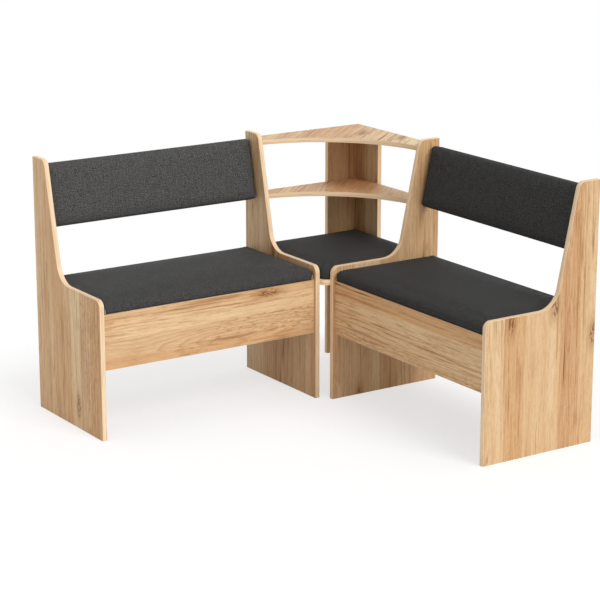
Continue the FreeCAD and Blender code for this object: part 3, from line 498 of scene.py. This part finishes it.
def felt_pad():
    material, w, shader = finish_of("felt_pad", roughness=0.95, specular=0.2, sheen=0.3)
    place = w.place()
    hairs = w.noise(place, (2600, 2600, 2600), 3.0, 0.7)
    tufts = w.noise(place, (900, 900, 900), 2.0)
    color = w.mix(w.step(hairs, 0.35, 0.7), shade(70, 64, 58), shade(126, 116, 104))
    color = w.tint(color, shade(48, 44, 40), w.step(tufts, 0.4, 0.7), 0.3)
    w.dress(shader, color, None, hairs, 0.0003)
    return material


def metal(name, bright, dull, rough, stretch):
    """A plated or cast metal with a fine directional finish and faint handling marks."""
    material, w, shader = finish_of(name, metallic=1.0)
    place = w.place()
    brushed = w.noise(place, stretch, 3.0, 0.65)
    patches = w.step(w.noise(place, (75, 75, 75), 3.0), 0.38, 0.68)
    scratch = w.step(w.noise(place, tuple(0.45 * s for s in reversed(stretch)), 1.0), 0.66, 0.70)
    color = w.mix(patches, bright, dull)
    color = w.tint(color, shade(90, 88, 84), scratch, 0.3)
    spread = w.times_plus(brushed, 0.22, rough - 0.08)
    w.dress(shader, color, w.times_plus(patches, 0.06, spread), brushed, 0.00004)
    return material


EDGE = oak_edge()
# Lit and shaded copies of one fabric: each pad's number brightens or darkens the weave as painted light and
# shade
FABRIC_PAINTED_LIGHT = {
    "left_seat": 1.12, "left_back": 1.5, "right_seat": 0.74, "right_back": 0.82, "corner_seat": 0.80,
}
FABRIC = {where: woven_fabric(f"weave_{where}", tone) for where, tone in FABRIC_PAINTED_LIGHT.items()}
RAW_CHIPS = raw_chip_board()
HARDBOARD = hard_board()
SOFTWOOD = {
    way: plain_wood(f"softwood_{way}", shade(232, 200, 150), shade(205, 162, 108), stretch, 0.15)
    for way, stretch in (("along_x", (5, 190, 190)), ("along_y", (190, 5, 190)))
}
BEECH = plain_wood("beech", shade(214, 174, 132), shade(190, 146, 104), (160, 160, 160), 0.4)
FELT = felt_pad()
STEEL = metal("hinge_steel", shade(196, 195, 192), shade(170, 170, 168), 0.34, (60, 900, 900))
ZINC = metal("zinc_plate", shade(206, 205, 200), shade(176, 176, 172), 0.36, (700, 700, 700))
CAST = metal("cast_zinc", shade(178, 180, 182), shade(150, 152, 155), 0.48, (420, 420, 420))


# ---- trees that repeat or follow a path

def path_tree(name, inputs):
    """A geometry tree with the named inputs; gives its wiring, its inputs and its last socket."""
    tree = bpy.data.node_groups.new(name, "GeometryNodeTree")
    tree.interface.new_socket("Geometry", in_out="INPUT", socket_type="NodeSocketGeometry")
    for label, kind, default in inputs:
        socket = tree.interface.new_socket(label, in_out="INPUT", socket_type=f"NodeSocket{kind}")
        if default is not None:
            socket.default_value = default
    tree.interface.new_socket("Geometry", in_out="OUTPUT", socket_type="NodeSocketGeometry")
    taken = tree.nodes.new("NodeGroupInput")
    given = tree.nodes.new("NodeGroupOutput")
    return Wiring(tree), taken.outputs, given.inputs


def ended(w, shape, taken, given):
    """Ends a tree: its copies made real, with the finish on them."""
    shape = w.geo("RealizeInstances", {0: shape})
    w.give(w.geo("SetMaterial", {"Geometry": shape, "Material": taken["Finish"]}), given["Geometry"])
    return w.tree


def rolled(w, turn, reach, seed):
    """A turn with a roll by chance about its own axis, up to reach either way."""
    roll = w.add("FunctionNodeRandomValue", {2: w.times(reach, -1.0), 3: reach, "Seed": seed}, 1)
    spin = w.add("FunctionNodeEulerToRotation", {0: w.join(0.0, 0.0, roll)})
    return w.add("FunctionNodeRotateRotation", {0: turn, 1: spin}, rotation_space="LOCAL")


def grown(source, tree, **settings):
    """The mesh that a tree grows on a source, with its inputs set by their identifiers."""
    modifier = source.modifiers.new(tree.name, "NODES")
    modifier.node_group = tree
    for item in tree.interface.items_tree:
        label = item.name.replace(" ", "_").lower()
        if item.item_type == "SOCKET" and item.in_out == "INPUT" and label in settings:
            modifier[item.identifier] = settings[label]
    mesh = applied(source)
    bpy.data.objects.remove(source)
    return mesh


def edging_tree():
    """Bands along paths: each point says how the path rounds there and which way the band's width runs."""
    w, taken, given = path_tree("edging", [
        ("Width", "Float", BOARD), ("Thickness", "Float", BAND), ("Arris", "Float", 0.0007),
        ("Finish", "Material", None),
    ])
    path = w.geo("MeshToCurve", {0: taken["Geometry"]})
    corners = {"Curve": path, "Count": 14, "Radius": w.named("rounding"), "Limit Radius": True}
    path = w.geo("FilletCurve", corners, mode="POLY")
    way = w.named("width_way", "FLOAT_VECTOR")
    path = w.geo("SetCurveNormal", {"Curve": path, "Normal": way}, mode="FREE")
    path = w.store(path, "run_length", w.geo("SplineParameter", out=1))
    section = w.geo("CurvePrimitiveQuadrilateral", {"Width": taken["Width"], "Height": taken["Thickness"]})
    rise = w.split(w.geo("InputPosition"))[1]
    outer = w.times(w.math("GREATER_THAN", rise, 0.0), taken["Arris"])
    section = w.geo("FilletCurve", {"Curve": section, "Count": 3, "Radius": outer}, mode="POLY")
    section = w.store(section, "run_side", w.split(w.geo("InputPosition"))[0])
    band = w.geo("CurveToMesh", {"Curve": path, "Profile Curve": section, "Fill Caps": True})
    run = w.join(w.named("run_length"), w.named("run_side"), 0.0)
    band = w.store(band, "band_run", run, "FLOAT_VECTOR")
    band = w.geo("SetShadeSmooth", {"Geometry": band, "Shade Smooth": False})
    return ended(w, band, taken, given)


def setting_tree():
    """Sets a fitting on each point, turned as the point says and rolled by chance about its own axis."""
    w, taken, given = path_tree("setting_out", [
        ("Fitting", "Object", None), ("Roll", "Float", math.pi), ("Seed", "Int", 1),
        ("Finish", "Material", None),
    ])
    turn = w.named("turn", "FLOAT_VECTOR")
    fitting = w.geo("ObjectInfo", {"Object": taken["Fitting"]}, out=4)
    turned = rolled(w, w.add("FunctionNodeEulerToRotation", {0: turn}), taken["Roll"], taken["Seed"])
    points = w.geo("MeshToPoints", {0: taken["Geometry"]})
    placed = w.geo("InstanceOnPoints", {"Points": points, "Instance": fitting, "Rotation": turned})
    return ended(w, placed, taken, given)


def staple_tree():
    """Staples at an even spacing along a closed path, each a little askew."""
    w, taken, given = path_tree("staple_row", [
        ("Staple", "Object", None), ("Spacing", "Float", 0.036), ("Askew", "Float", 0.2), ("Seed", "Int", 3),
        ("Finish", "Material", None),
    ])
    path = w.geo("MeshToCurve", {0: taken["Geometry"]})
    spots = w.geo("CurveToPoints", {"Curve": path, "Length": taken["Spacing"]}, mode="LENGTH").node.outputs
    along = w.add("FunctionNodeAlignRotationToVector", {"Vector": spots["Tangent"]}, axis="X")
    outward = w.add("FunctionNodeAlignRotationToVector", {0: along, "Vector": (0.0, 0.0, -1.0)},
                    axis="Z", pivot_axis="X")
    turned = rolled(w, outward, taken["Askew"], taken["Seed"])
    staple = w.geo("ObjectInfo", {"Object": taken["Staple"]}, out=4)
    placed = w.geo("InstanceOnPoints", {"Points": spots["Points"], "Instance": staple, "Rotation": turned})
    return ended(w, placed, taken, given)


EDGING = edging_tree()
SETTING = setting_tree()
STAPLES = staple_tree()


# ---- edge bands

def paths_source(paths):
    """A source for the edging: each path is its points, their roundings, and the way of the band's width."""
    points, edges, rounds, ways = [], [], [], []
    for spots, way in paths:
        edges += [(n, n + 1) for n in range(len(points), len(points) + len(spots) - 1)]
        for spot, rounding in spots:
            points.append(spot)
            rounds.append(rounding)
            ways.extend(way)
    source = drawn("band_paths", points, edges)
    mark(source, "rounding", "FLOAT", rounds)
    mark(source, "width_way", "FLOAT_VECTOR", ways)
    return source


def edge_band(name, node, paths, place, width=BOARD):
    mesh = grown(paths_source(paths), EDGING, width=width, finish=EDGE)
    mesh.transform(place)
    fitted(piece_of(name, mesh), "root", [node], smooth=False)


def arc(centre, radius, start, stop, height, steps):
    """Points on a level arc, in degrees, for the edging."""
    angles = [math.radians(start + (stop - start) * n / steps) for n in range(steps + 1)]
    return [((centre + radius * math.cos(a), centre + radius * math.sin(a), height), 0.0) for a in angles]


def all_edge_bands():
    inset = BAND / 2
    lean = inset * (SLOPE - math.sqrt(1 + SLOPE * SLOPE))
    outline = [
        (0, HEIGHT - inset, 0),
        (TOP_DEPTH + lean, HEIGHT - inset, TOP_ROUND - inset),
        (HIP_DEPTH + lean, ARM_HEIGHT - inset, HIP_ROUND + inset),
        (PANEL_DEPTH - inset, ARM_HEIGHT - inset, FRONT_ROUND - inset),
        (PANEL_DEPTH - inset, 0, 0),
    ]
    for bench, ends in (("left", ("outer", "inner")), ("right", ("inner", "outer"))):
        for end, middle in zip(ends, (BOARD / 2, BENCH - BOARD / 2)):
            path = [((middle, -depth, height), rounding) for depth, height, rounding in outline]
            panel = f"{bench}_{end}_panel"
            edge_band(f"{panel}_edging", f"{panel}_edge_band", [(path, (1, 0, 0))], PLACES[bench])
        depth = BOARD / 2 - APRON_FRONT
        edge_band(f"{bench}_apron_edging", f"{bench}_apron_edge_bands", [
            ([((x, depth, height), 0) for x in (BOARD, BENCH - BOARD)], (0, way, 0))
            for height, way in ((APRON[0] + inset, -1), (APRON[1] - inset, 1))
        ], PLACES[bench])
    column = inset - COLUMN_WIDTH
    top = SHELF_TOPS[0] - BOARD
    edge_band("corner_column_edging", "corner_column_edge_bands", [
        ([((column, -BOARD / 2, height), 0) for height in (0, top)], (0, 1, 0)),
        ([((-BOARD / 2, column, height), 0) for height in (0, top)], (-1, 0, 0)),
    ], CORNER)
    # The shelves' hollow front runs through their two ends, round a centre on the corner's diagonal
    reach = CORNER_SPAN ** 2 + SHELF_END ** 2 - SHELF_RADIUS ** 2
    spread = CORNER_SPAN + SHELF_END
    centre = -(spread + math.sqrt(spread ** 2 - 2 * reach)) / 2
    hollow = SHELF_RADIUS + inset
    end = math.degrees(math.acos((-CORNER_SPAN - centre) / hollow))
    edge_band("corner_shelf_edging", "corner_shelf_edge_bands", [
        (arc(centre, hollow, end, 90 - end, height - BOARD / 2, 48), (0, 0, 1)) for height in SHELF_TOPS
    ], CORNER)
    edge_band("corner_nose_edging", "corner_seat_edge_band", [
        (arc(NOSE - CORNER_SPAN, NOSE - inset, 180, 270, LID_BOTTOM - CORNER_BOARD / 2, 16), (0, 0, 1))
    ], CORNER, CORNER_BOARD)


# ---- screws, cams and staples

def turned_profile(profile, sides, cross):
    """A turned fitting with a cross recess: its profile is radius and height, from the face at Z 0 down."""
    work = bmesh.new()
    angles = [2 * math.pi * n / sides for n in range(sides)]
    loops = []
    for radius, height in profile:
        spots = [(radius * math.cos(a), radius * math.sin(a), height) for a in angles]
        tip = [] if radius else [work.verts.new((0, 0, height))] * sides
        loops.append(tip or [work.verts.new(spot) for spot in spots])
    for upper, lower in zip(loops, loops[1:]):
        for n in range(sides):
            corners = [upper[n], lower[n], lower[(n + 1) % sides], upper[(n + 1) % sides]]
            work.faces.new(list(dict.fromkeys(corners)))
    if profile[-1][0]:
        work.faces.new(list(reversed(loops[-1])))
    # The recess: a cross sunk into the face, narrower at its bottom
    arm, half, depth = cross
    flat = [(arm, -half), (arm, half), (half, half), (half, arm), (-half, arm), (-half, half),
            (-arm, half), (-arm, -half), (-half, -half), (-half, -arm), (half, -arm), (half, -half)]
    rim = [work.verts.new((x, y, 0)) for x, y in flat]
    floor = [work.verts.new((0.55 * x, 0.55 * y, -depth)) for x, y in flat]
    wall(work, rim, floor)
    work.faces.new(floor)
    edges = [work.edges.get(pair) for loop in (loops[0], rim) for pair in zip(loop, loop[1:] + loop[:1])]
    bmesh.ops.triangle_fill(work, use_beauty=True, edges=edges)
    return piece_of("fitting", mesh_of("fitting", work))


def screw_of(length):
    """A countersunk cross-head screw with a pointed shank."""
    profile = [(0.0034, 0), (0.0035, -0.0002), (0.00175, -0.0014), (0.0015, -0.003),
               (0.0015, 0.004 - length), (0, -length)]
    return turned_profile(profile, 16, (0.0019, 0.0004, 0.0012))


def cam_of():
    """A cam disc with a softened rim and a cross recess."""
    profile = [(0.0067, 0), (0.0073, -0.0002), (0.0075, -0.0007), (0.0075, -0.0125)]
    return turned_profile(profile, 28, (0.0036, 0.0008, 0.0032))


def staple_of():
    """The crown of a staple, with its legs just into the board."""
    work = bmesh.new()
    bmesh.ops.create_cube(work, size=1, matrix=Matrix.Diagonal((0.0098, 0.0009, 0.0006, 1)))
    bmesh.ops.bevel(work, geom=list(work.edges), offset=0.00018, segments=1, affect="EDGES", profile=0.5)
    return piece_of("staple", mesh_of("staple", work))


def solids_of(name):
    """The corner points of each separate solid of a node."""
    work = bmesh.new()
    work.from_mesh(NODES[name].data)
    bmesh.ops.remove_doubles(work, verts=work.verts, dist=1e-6)
    left, found = dict.fromkeys(work.verts), []
    while left:
        queue, group = [left.popitem()[0]], []
        while queue:
            corner = queue.pop()
            group.append(corner.co[:])
            for edge in corner.link_edges:
                other = edge.other_vert(corner)
                if other in left:
                    del left[other]
                    queue.append(other)
        found.append(np.array(group))
    work.free()
    return found


def head_of(points):
    """The middle of a screw's face and the way that the face looks."""
    low, high = points.min(0), points.max(0)
    axis = int(np.argmax(high - low))
    height, across = points[:, axis], points[:, (axis + 1) % 3]
    lower, upper = (np.ptp(across[np.abs(height - end[axis]) < 2e-4]) for end in (low, high))
    up = upper > lower
    spot, facing = Vector((low + high) / 2), Vector((0, 0, 0))
    spot[axis] = (high if up else low)[axis]
    facing[axis] = 1 if up else -1
    return spot, facing


def set_out(name, node, body, fitting, spots, finish, roll=math.pi):
    """One mesh of a fitting set at every spot, each a place and the way its face looks, in a node's stead."""
    source = drawn(name, [spot for spot, _ in spots])
    turns = [angle for _, facing in spots for angle in facing.to_track_quat("Z", "Y").to_euler()]
    mark(source, "turn", "FLOAT_VECTOR", turns)
    mesh = grown(source, SETTING, fitting=fitting, roll=roll, finish=finish)
    fitted(piece_of(name, mesh), body, [node], smooth=False)


def screwed(node, body, screw):
    """Cross-head screws where a node has plain ones."""
    spots = [head_of(points) for points in solids_of(node)]
    set_out(node.replace("_screws", "_cross_screws"), node, body, screw, spots, ZINC)


def all_fasteners():
    short, long, cam = screw_of(0.013), screw_of(0.027), cam_of()
    for side, place in PLACES.items():
        screwed(f"{side}_cleat_screws", "root", long)
        screwed(f"{side}_hinge_rear_screws", "root", short)
        screwed(f"{side}_hinge_lid_screws", f"{side}_lid", short)
        # Cams face into the box from both its boards, and to the wall from the backrest
        spots = []
        for x in (0.050, BENCH - 0.050):
            spots.append((Vector((x, BOARD - APRON_FRONT, 0.320)), Vector((0, 1, 0))))
            spots.append((Vector((x, -BOARD, 0.331)), Vector((0, -1, 0))))
        for x in (0.057, BENCH - 0.057):
            for share in (0.28, 0.76):
                spot = BACK @ Vector((x, BACK_THICK, -share * BACK_TALL))
                spots.append((spot, BACK.to_3x3() @ Vector((0, 1, 0))))
        spots = [(place @ spot, place.to_3x3() @ facing) for spot, facing in spots]
        set_out(f"{side}_cross_cams", f"{side}_cam_discs", "root", cam, spots, CAST, 0.5)
    screwed("corner_cleat_screws", "root", long)
    for fitting in (short, long, cam):
        bpy.data.objects.remove(fitting)


# ---- pads

def ring_of(width, depth, corners, steps=6, side_steps=12):
    """A rounded rectangle, X 0 to width and Y 0 to -depth: points and outward ways, corner radii in turn."""
    arcs = []
    for number, (x, y, dx, dy) in enumerate(corners_of(width, depth)):
        radius = corners[number]
        angles = [math.pi + (number + n / steps) * math.pi / 2 for n in range(steps + 1)]
        ways = [(math.cos(a), math.sin(a)) for a in angles]
        arcs.append([(x + dx * radius + radius * c, y + dy * radius + radius * s, c, s) for c, s in ways])
    spots = []
    for turn, following in zip(arcs, arcs[1:] + arcs[:1]):
        x, y, *way = turn[-1]
        across, along = following[0][0] - x, following[0][1] - y
        shares = [n / side_steps for n in range(1, side_steps)]
        spots += turn + [(x + across * share, y + along * share, *way) for share in shares]
    return spots


def corners_of(width, depth):
    """The corners of a pad's plan, front left first, each with the ways to its inside."""
    return (0, -depth, 1, 1), (width, -depth, -1, 1), (width, 0, -1, -1), (0, 0, 1, -1)


def pad_blank(name, width, depth, height, crown, rolls, corners, waist):
    """A crowned pad with rolled edges, its sides drawn in by waist and tucked in below."""
    front, back, side = rolls
    outline = ring_of(width, depth, corners)
    middle = Vector((width / 2, -depth / 2, 0))
    work = bmesh.new()

    def loop(inset_share, fall_share, lower=None, tuck=0.0):
        made = []
        for x, y, nx, ny in outline:
            roll = nx ** 2 * side + (1 - nx ** 2) * (front if ny < 0 else back)
            bow = waist * (1 - (2 * x / width - 1) ** 2) * abs(ny)
            bow += waist * (1 - (2 * -y / depth - 1) ** 2) * abs(nx)
            inset = roll * inset_share + tuck + bow
            z = height - roll * fall_share if lower is None else lower
            made.append(work.verts.new((x - nx * inset, y - ny * inset, z)))
        return made

    loops = [loop(0, 0, lower, tuck) for lower, tuck in TUCKED_LOOPS]
    for step in range(8):
        angle = step / 7 * math.pi / 2
        loops.append(loop(1 - math.cos(angle), 1 - math.sin(angle)))
    edge = [Vector((corner.co.x, corner.co.y, 0)) for corner in loops[-1]]
    for step in range(1, 9):
        inner = 1 - step / 9
        z = height + crown * (1 - inner ** 3.2)
        spots = [middle.lerp(spot, inner) for spot in edge]
        loops.append([work.verts.new((spot.x, spot.y, z)) for spot in spots])
    for lower, upper in zip(loops, loops[1:]):
        wall(work, lower, upper)
    work.faces.new(loops[-1])
    work.faces.new(list(reversed(loops[0])))
    bmesh.ops.triangulate(work, faces=[f for f in work.faces if len(f.verts) > 4])
    return piece_of(name, mesh_of(name, work))


def read(items, field, width, kind=float):
    """A field of every item of a mesh, one row each."""
    found = np.zeros(len(items) * width, kind)
    items.foreach_get(field, found)
    return found.reshape(-1, width)


def moved_to(piece, spots):
    piece.data.vertices.foreach_set("co", spots.ravel())
    piece.data.update()


def stuffed(piece, held_below, travel):
    """Remeshes a pad finely and blows it up a little, held along its board; no point moves beyond travel."""
    remesh = piece.modifiers.new("even_mesh", "REMESH")
    remesh.mode = "VOXEL"
    remesh.voxel_size = 0.006
    piece.data = applied(piece)
    rest = read(piece.data.vertices, "co", 3)
    held = piece.vertex_groups.new(name="held")
    for number, spot in enumerate(rest):
        if spot[2] < held_below:
            held.add([number], 1.0, "REPLACE")
    cloth = piece.modifiers.new("stuffing", "CLOTH")
    made = cloth.settings
    made.quality = 4
    made.mass = 0.25
    made.tension_stiffness = made.compression_stiffness = 12
    made.shear_stiffness = 6
    made.bending_stiffness = 0.6
    made.use_pressure = True
    made.uniform_pressure_force = 4
    made.vertex_group_mass = "held"
    made.effector_weights.gravity = 0
    for moment in range(1, 21):
        bpy.context.scene.frame_set(moment)
    moved = read(applied(piece).vertices, "co", 3)
    bpy.context.scene.frame_set(1)
    step = moved - rest
    length = np.linalg.norm(step, axis=1, keepdims=True)
    free = np.clip((rest[:, 2:3] - held_below) / 0.012, 0, 1)
    rest = rest + step * (free * travel * np.tanh(length / travel) / np.maximum(length, 1e-9))
    piece.vertex_groups.clear()
    moved_to(piece, rest)
    smooth = piece.modifiers.new("even_out", "SMOOTH")
    smooth.factor = 0.5
    smooth.iterations = 3
    finer = piece.modifiers.new("finer", "SUBSURF")
    finer.levels = finer.render_levels = 1
    piece.data = applied(piece)


def lay_cloth(mesh, flat):
    """Writes the cloth's map, in metres, given as one place for each vertex."""
    corner_of = read(mesh.loops, "vertex_index", 1, np.int32)[:, 0]
    mesh.uv_layers.new(name="cloth").data.foreach_set("uv", flat[corner_of].ravel())


def finished_pad(name, width, depth, under, top, held_below, travel, fold, cut_at, **blank):
    """A pad kept to its room, with its cloth flat on top and carried down over its sides from the fold."""
    pad = pad_blank(name, width, depth, **blank)
    stuffed(pad, held_below, travel)
    spots = np.clip(read(pad.data.vertices, "co", 3), (0, -depth, under), (width, 0, top))
    moved_to(pad, spots)
    spots = read(pad.data.vertices, "co", 3)
    ways = read(pad.data.vertex_normals, "vector", 3)
    level = np.linalg.norm(ways[:, :2], axis=1, keepdims=True)
    fall = np.clip(fold - spots[:, 2:3], 0, None)
    carried = fall * ways[:, :2] / np.maximum(level, 1e-3) * np.clip(level * 4, 0, 1)
    lay_cloth(pad.data, spots[:, :2] + carried + np.array(cut_at))
    return pad


def copy_of(piece, name, place, shift):
    """Another pad of the same make, in its own place, cut from another part of the roll."""
    mesh = piece.data.copy()
    cloth = mesh.uv_layers["cloth"].data
    cloth.foreach_set("uv", (read(cloth, "uv", 2) + shift).ravel())
    mesh.transform(place)
    return piece_of(name, mesh)


def hem_mesh(width, depth, corner, reach):
    """The fabric's turned-under edge on a pad's underside, with a slightly wavy cut and folded corners."""
    outline = ring_of(width, depth, [corner] * 4, 5, 40)
    work = bmesh.new()
    loops = []
    # From the pad's side round to the cut, and back inside the pad; the last two follow the cut
    for inset, z in ((0.0016, 0.0012), (0.001, 0.0004), (0.0018, -0.00028), (None, -0.00028), (None, 0.0006)):
        made = []
        for number, (x, y, nx, ny) in enumerate(outline):
            if inset is None:
                ragged = 0.0011 * math.sin(number * 2.3) + 0.0008 * math.sin(number * 0.71 + 1)
                x = min(max(x, reach), width - reach) + ragged * nx
                y = max(min(y, -reach), reach - depth) + ragged * ny
            else:
                x, y = x - nx * inset, y - ny * inset
            made.append(work.verts.new((x, y, z)))
        loops.append(made)
    for first, second in zip(loops, loops[1:] + loops[:1]):
        wall(work, first, second)
    # Each corner's second layer, folded to the diagonal
    flat = [(0.005, 0.003), (0.036, 0.003), (0.0255, 0.0245)]
    for x, y, dx, dy in corners_of(width, depth):
        lower = [work.verts.new((x + dx * a, y + dy * b, -0.00048)) for a, b in flat]
        upper = [work.verts.new((x + dx * (a - 0.0004), y + dy * b, -0.0002)) for a, b in flat]
        work.faces.new(lower)
        work.faces.new(upper)
        wall(work, lower, upper)
    mesh = mesh_of("hem", work)
    lay_cloth(mesh, read(mesh.vertices, "co", 3)[:, :2] + np.array((1.3, 0.4)))
    return mesh


def staple_path(width, depth, inset):
    """The closed line of the staples on a pad's underside."""
    corners = reversed(corners_of(width, depth))
    spots = [(x + dx * inset, y + dy * inset, -0.00025) for x, y, dx, dy in corners]
    return drawn("staple_line", spots, [(0, 1), (1, 2), (2, 3), (3, 0)])


def upholstery():
    """The pads of the lids, the backrests and the corner seat; those of the lids and the backrests with their
    hems and staples.
    """
    inward = BOARD + PLAY
    spots = {
        "seat": Matrix.Translation((inward, -SEAT_GAP, LID_BOTTOM)),
        "back": BACK @ Matrix.Translation((inward, BACK_THICK, 0)) @ Matrix.Rotation(math.pi / 2, 4, "X"),
    }
    pads = {kind: finished_pad(f"{kind}_blank", **PADS[kind]) for kind in spots}
    sizes = {kind: (PADS[kind]["width"], PADS[kind]["depth"]) for kind in spots}
    hems = {kind: hem_mesh(*sizes[kind], *HEMS[kind]) for kind in spots}
    staple = staple_of()
    for number, (side, place) in enumerate(PLACES.items()):
        for kind, body, node in (("seat", f"{side}_lid", "seat_pad"), ("back", "root", "backrest_pad")):
            name = f"{side}_{kind}"
            spot = place @ spots[kind]
            cushion = copy_of(pads[kind], f"{name}_cushion", spot, 0.731 * number)
            fitted(cushion, body, [f"{side}_{node}"], FABRIC[name])
            hem = hems[kind].copy()
            hem.transform(spot)
            fitted(piece_of(f"{name}_hem", hem), body, (), FABRIC[name], smooth=False)
            line = staple_path(*sizes[kind], 0.013)
            row = grown(line, STAPLES, staple=staple, seed=5 + number, finish=ZINC)
            row.transform(spot)
            fitted(piece_of(f"{name}_staples", row), body, (), smooth=False)
    corner = finished_pad("corner_seat_cushion", **PADS["corner"])
    corner.data.transform(Matrix.Translation((*CORNER_PAD_AT, LID_BOTTOM)))
    fitted(corner, "root", ["corner_seat_pad"], FABRIC["corner_seat"])
    for blank in (*pads.values(), staple):
        bpy.data.objects.remove(blank)


# ---- finishes of the boards and fittings

def finish_nodes():
    """Puts its finish on each node that stays."""
    x_way, y_way, z_way = (1, 0, 0), (0, 1, 0), (0, 0, 1)
    # The last number of a board, where given, darkens it as painted shade: the left inner and right outer
    # panels a little, the corner's two columns most
    boards = {
        "left_outer_side_panel": ("left_outer", z_way, y_way, (0.35, 0.02, 0.01)),
        "left_inner_side_panel": ("left_inner", z_way, y_way, (1.15, 0.31, 0.02), 0.0, 0.93),
        "right_inner_side_panel": ("right_inner", z_way, x_way, (2.05, 0.07, 0.00)),
        "right_outer_side_panel": ("right_outer", z_way, x_way, (3.4, 0.19, 0.03), 0.0, 0.94),
        "left_apron": ("left_apron", x_way, z_way, (4.2, 0.04, 0.05)),
        "right_apron": ("right_apron", y_way, z_way, (5.7, 0.11, 0.02)),
        "left_box_rear_board": ("left_rear", x_way, z_way, (6.6, 0.2, 0.04)),
        "right_box_rear_board": ("right_rear", y_way, z_way, (7.9, 0.33, 0.01)),
        "corner_column_left_board": ("left_column", z_way, x_way, (9.1, 0.05, 0.02), 0.0, 0.76),
        "corner_column_right_board": ("right_column", z_way, y_way, (10.3, 0.41, 0.03), 0.0, 0.70),
        "corner_top_shelf": ("top_shelf", x_way, y_way, (11.2, 0.1, 0.02), SHELF_GRAIN),
        "corner_middle_shelf": ("middle_shelf", x_way, y_way, (12.6, 0.2, 0.04), SHELF_GRAIN),
        "corner_seat_board": ("corner_seat", x_way, y_way, (13.5, 0.3, 0.01), SHELF_GRAIN),
    }
    boards = {node: oak_board(*board) for node, board in boards.items()}
    endings = (
        ("_seat_board", RAW_CHIPS), ("_backrest_board", RAW_CHIPS), ("_box_floor", HARDBOARD),
        ("_lid_buffers", FELT), ("_dowels", BEECH), ("_cam_bolts", ZINC), ("_hinge_pins", STEEL),
        ("_hinge_fixed_leaves", STEEL), ("_hinge_moving_leaves", STEEL),
        ("left_box_side_cleats", SOFTWOOD["along_y"]), ("left_box_long_cleats", SOFTWOOD["along_x"]),
        ("right_box_side_cleats", SOFTWOOD["along_x"]), ("right_box_long_cleats", SOFTWOOD["along_y"]),
        ("corner_seat_cleats", SOFTWOOD["along_x"]),
    )
    for name, node in NODES.items():
        material = boards.get(name) or next((m for ending, m in endings if name.endswith(ending)), None)
        if material is None:
            continue
        if not node.material_slots:
            node.data.materials.append(material)
        for slot in node.material_slots:
            slot.material = material


# ---- floor and light

def seen_directly(w):
    """1 for a ray of the camera, of a gloss or through glass."""
    path = w.add("ShaderNodeLightPath").node.outputs
    mirrored = w.math("MAXIMUM", path["Is Camera Ray"], path["Is Glossy Ray"])
    return w.math("MAXIMUM", mirrored, path["Is Transmission Ray"])


def pale_floor():
    """White to the eye where no shadow falls: part of it glows, and all of it does far out."""
    material, w, shader = finish_of("pale_floor", roughness=0.9, specular=0.1)
    shader["Base Color"].default_value = (0.80, 0.80, 0.80, 1)
    far = w.step(w.vector("LENGTH", w.place(), out=1), FADE_START, FADE_END)
    share = w.times(w.times_plus(far, 0.5, 0.5), seen_directly(w))
    glow = w.add("ShaderNodeEmission", {"Color": (1, 1, 1, 1), "Strength": w.times_plus(far, -0.28, 1.28)})
    nodes = w.tree.nodes
    surface = w.add("ShaderNodeMixShader", {0: share, 1: nodes["Principled BSDF"].outputs[0], 2: glow})
    w.give(surface, nodes["Material Output"].inputs["Surface"])
    return material


def studio():
    """A plain pale floor that fades to white, an even sky and one broad soft lamp."""
    corners = [(FLOOR_HALF * x, FLOOR_HALF * y, 0) for x, y in ((-1, -1), (1, -1), (1, 1), (-1, 1))]
    floor = drawn("floor", corners, (), [(0, 1, 2, 3)])
    floor.data.materials.append(pale_floor())
    world = bpy.data.worlds.new("even_sky")
    bpy.context.scene.world = world
    world.use_nodes = True
    w = Wiring(world.node_tree)
    sky = world.node_tree.nodes["Background"].inputs
    w.give(w.times_plus(seen_directly(w), 1.0 - SKY_LIGHT, SKY_LIGHT), sky["Strength"])
    sky["Color"].default_value = (1, 1, 1, 1)
    lamp = bpy.data.lights.new("broad_lamp", "SUN")
    lamp.angle, lamp.energy = LAMP_WIDTH, LAMP_LIGHT
    light = bpy.data.objects.new("broad_lamp", lamp)
    light.location = LAMP_AT
    light.rotation_mode = "QUATERNION"
    light.rotation_quaternion = (-light.location).to_track_quat("-Z", "Y")
    bpy.context.scene.collection.objects.link(light)
    bpy.context.scene.view_settings.view_transform = "Standard"


# ---- the bench

finish_nodes()
all_edge_bands()
all_fasteners()
upholstery()
studio()
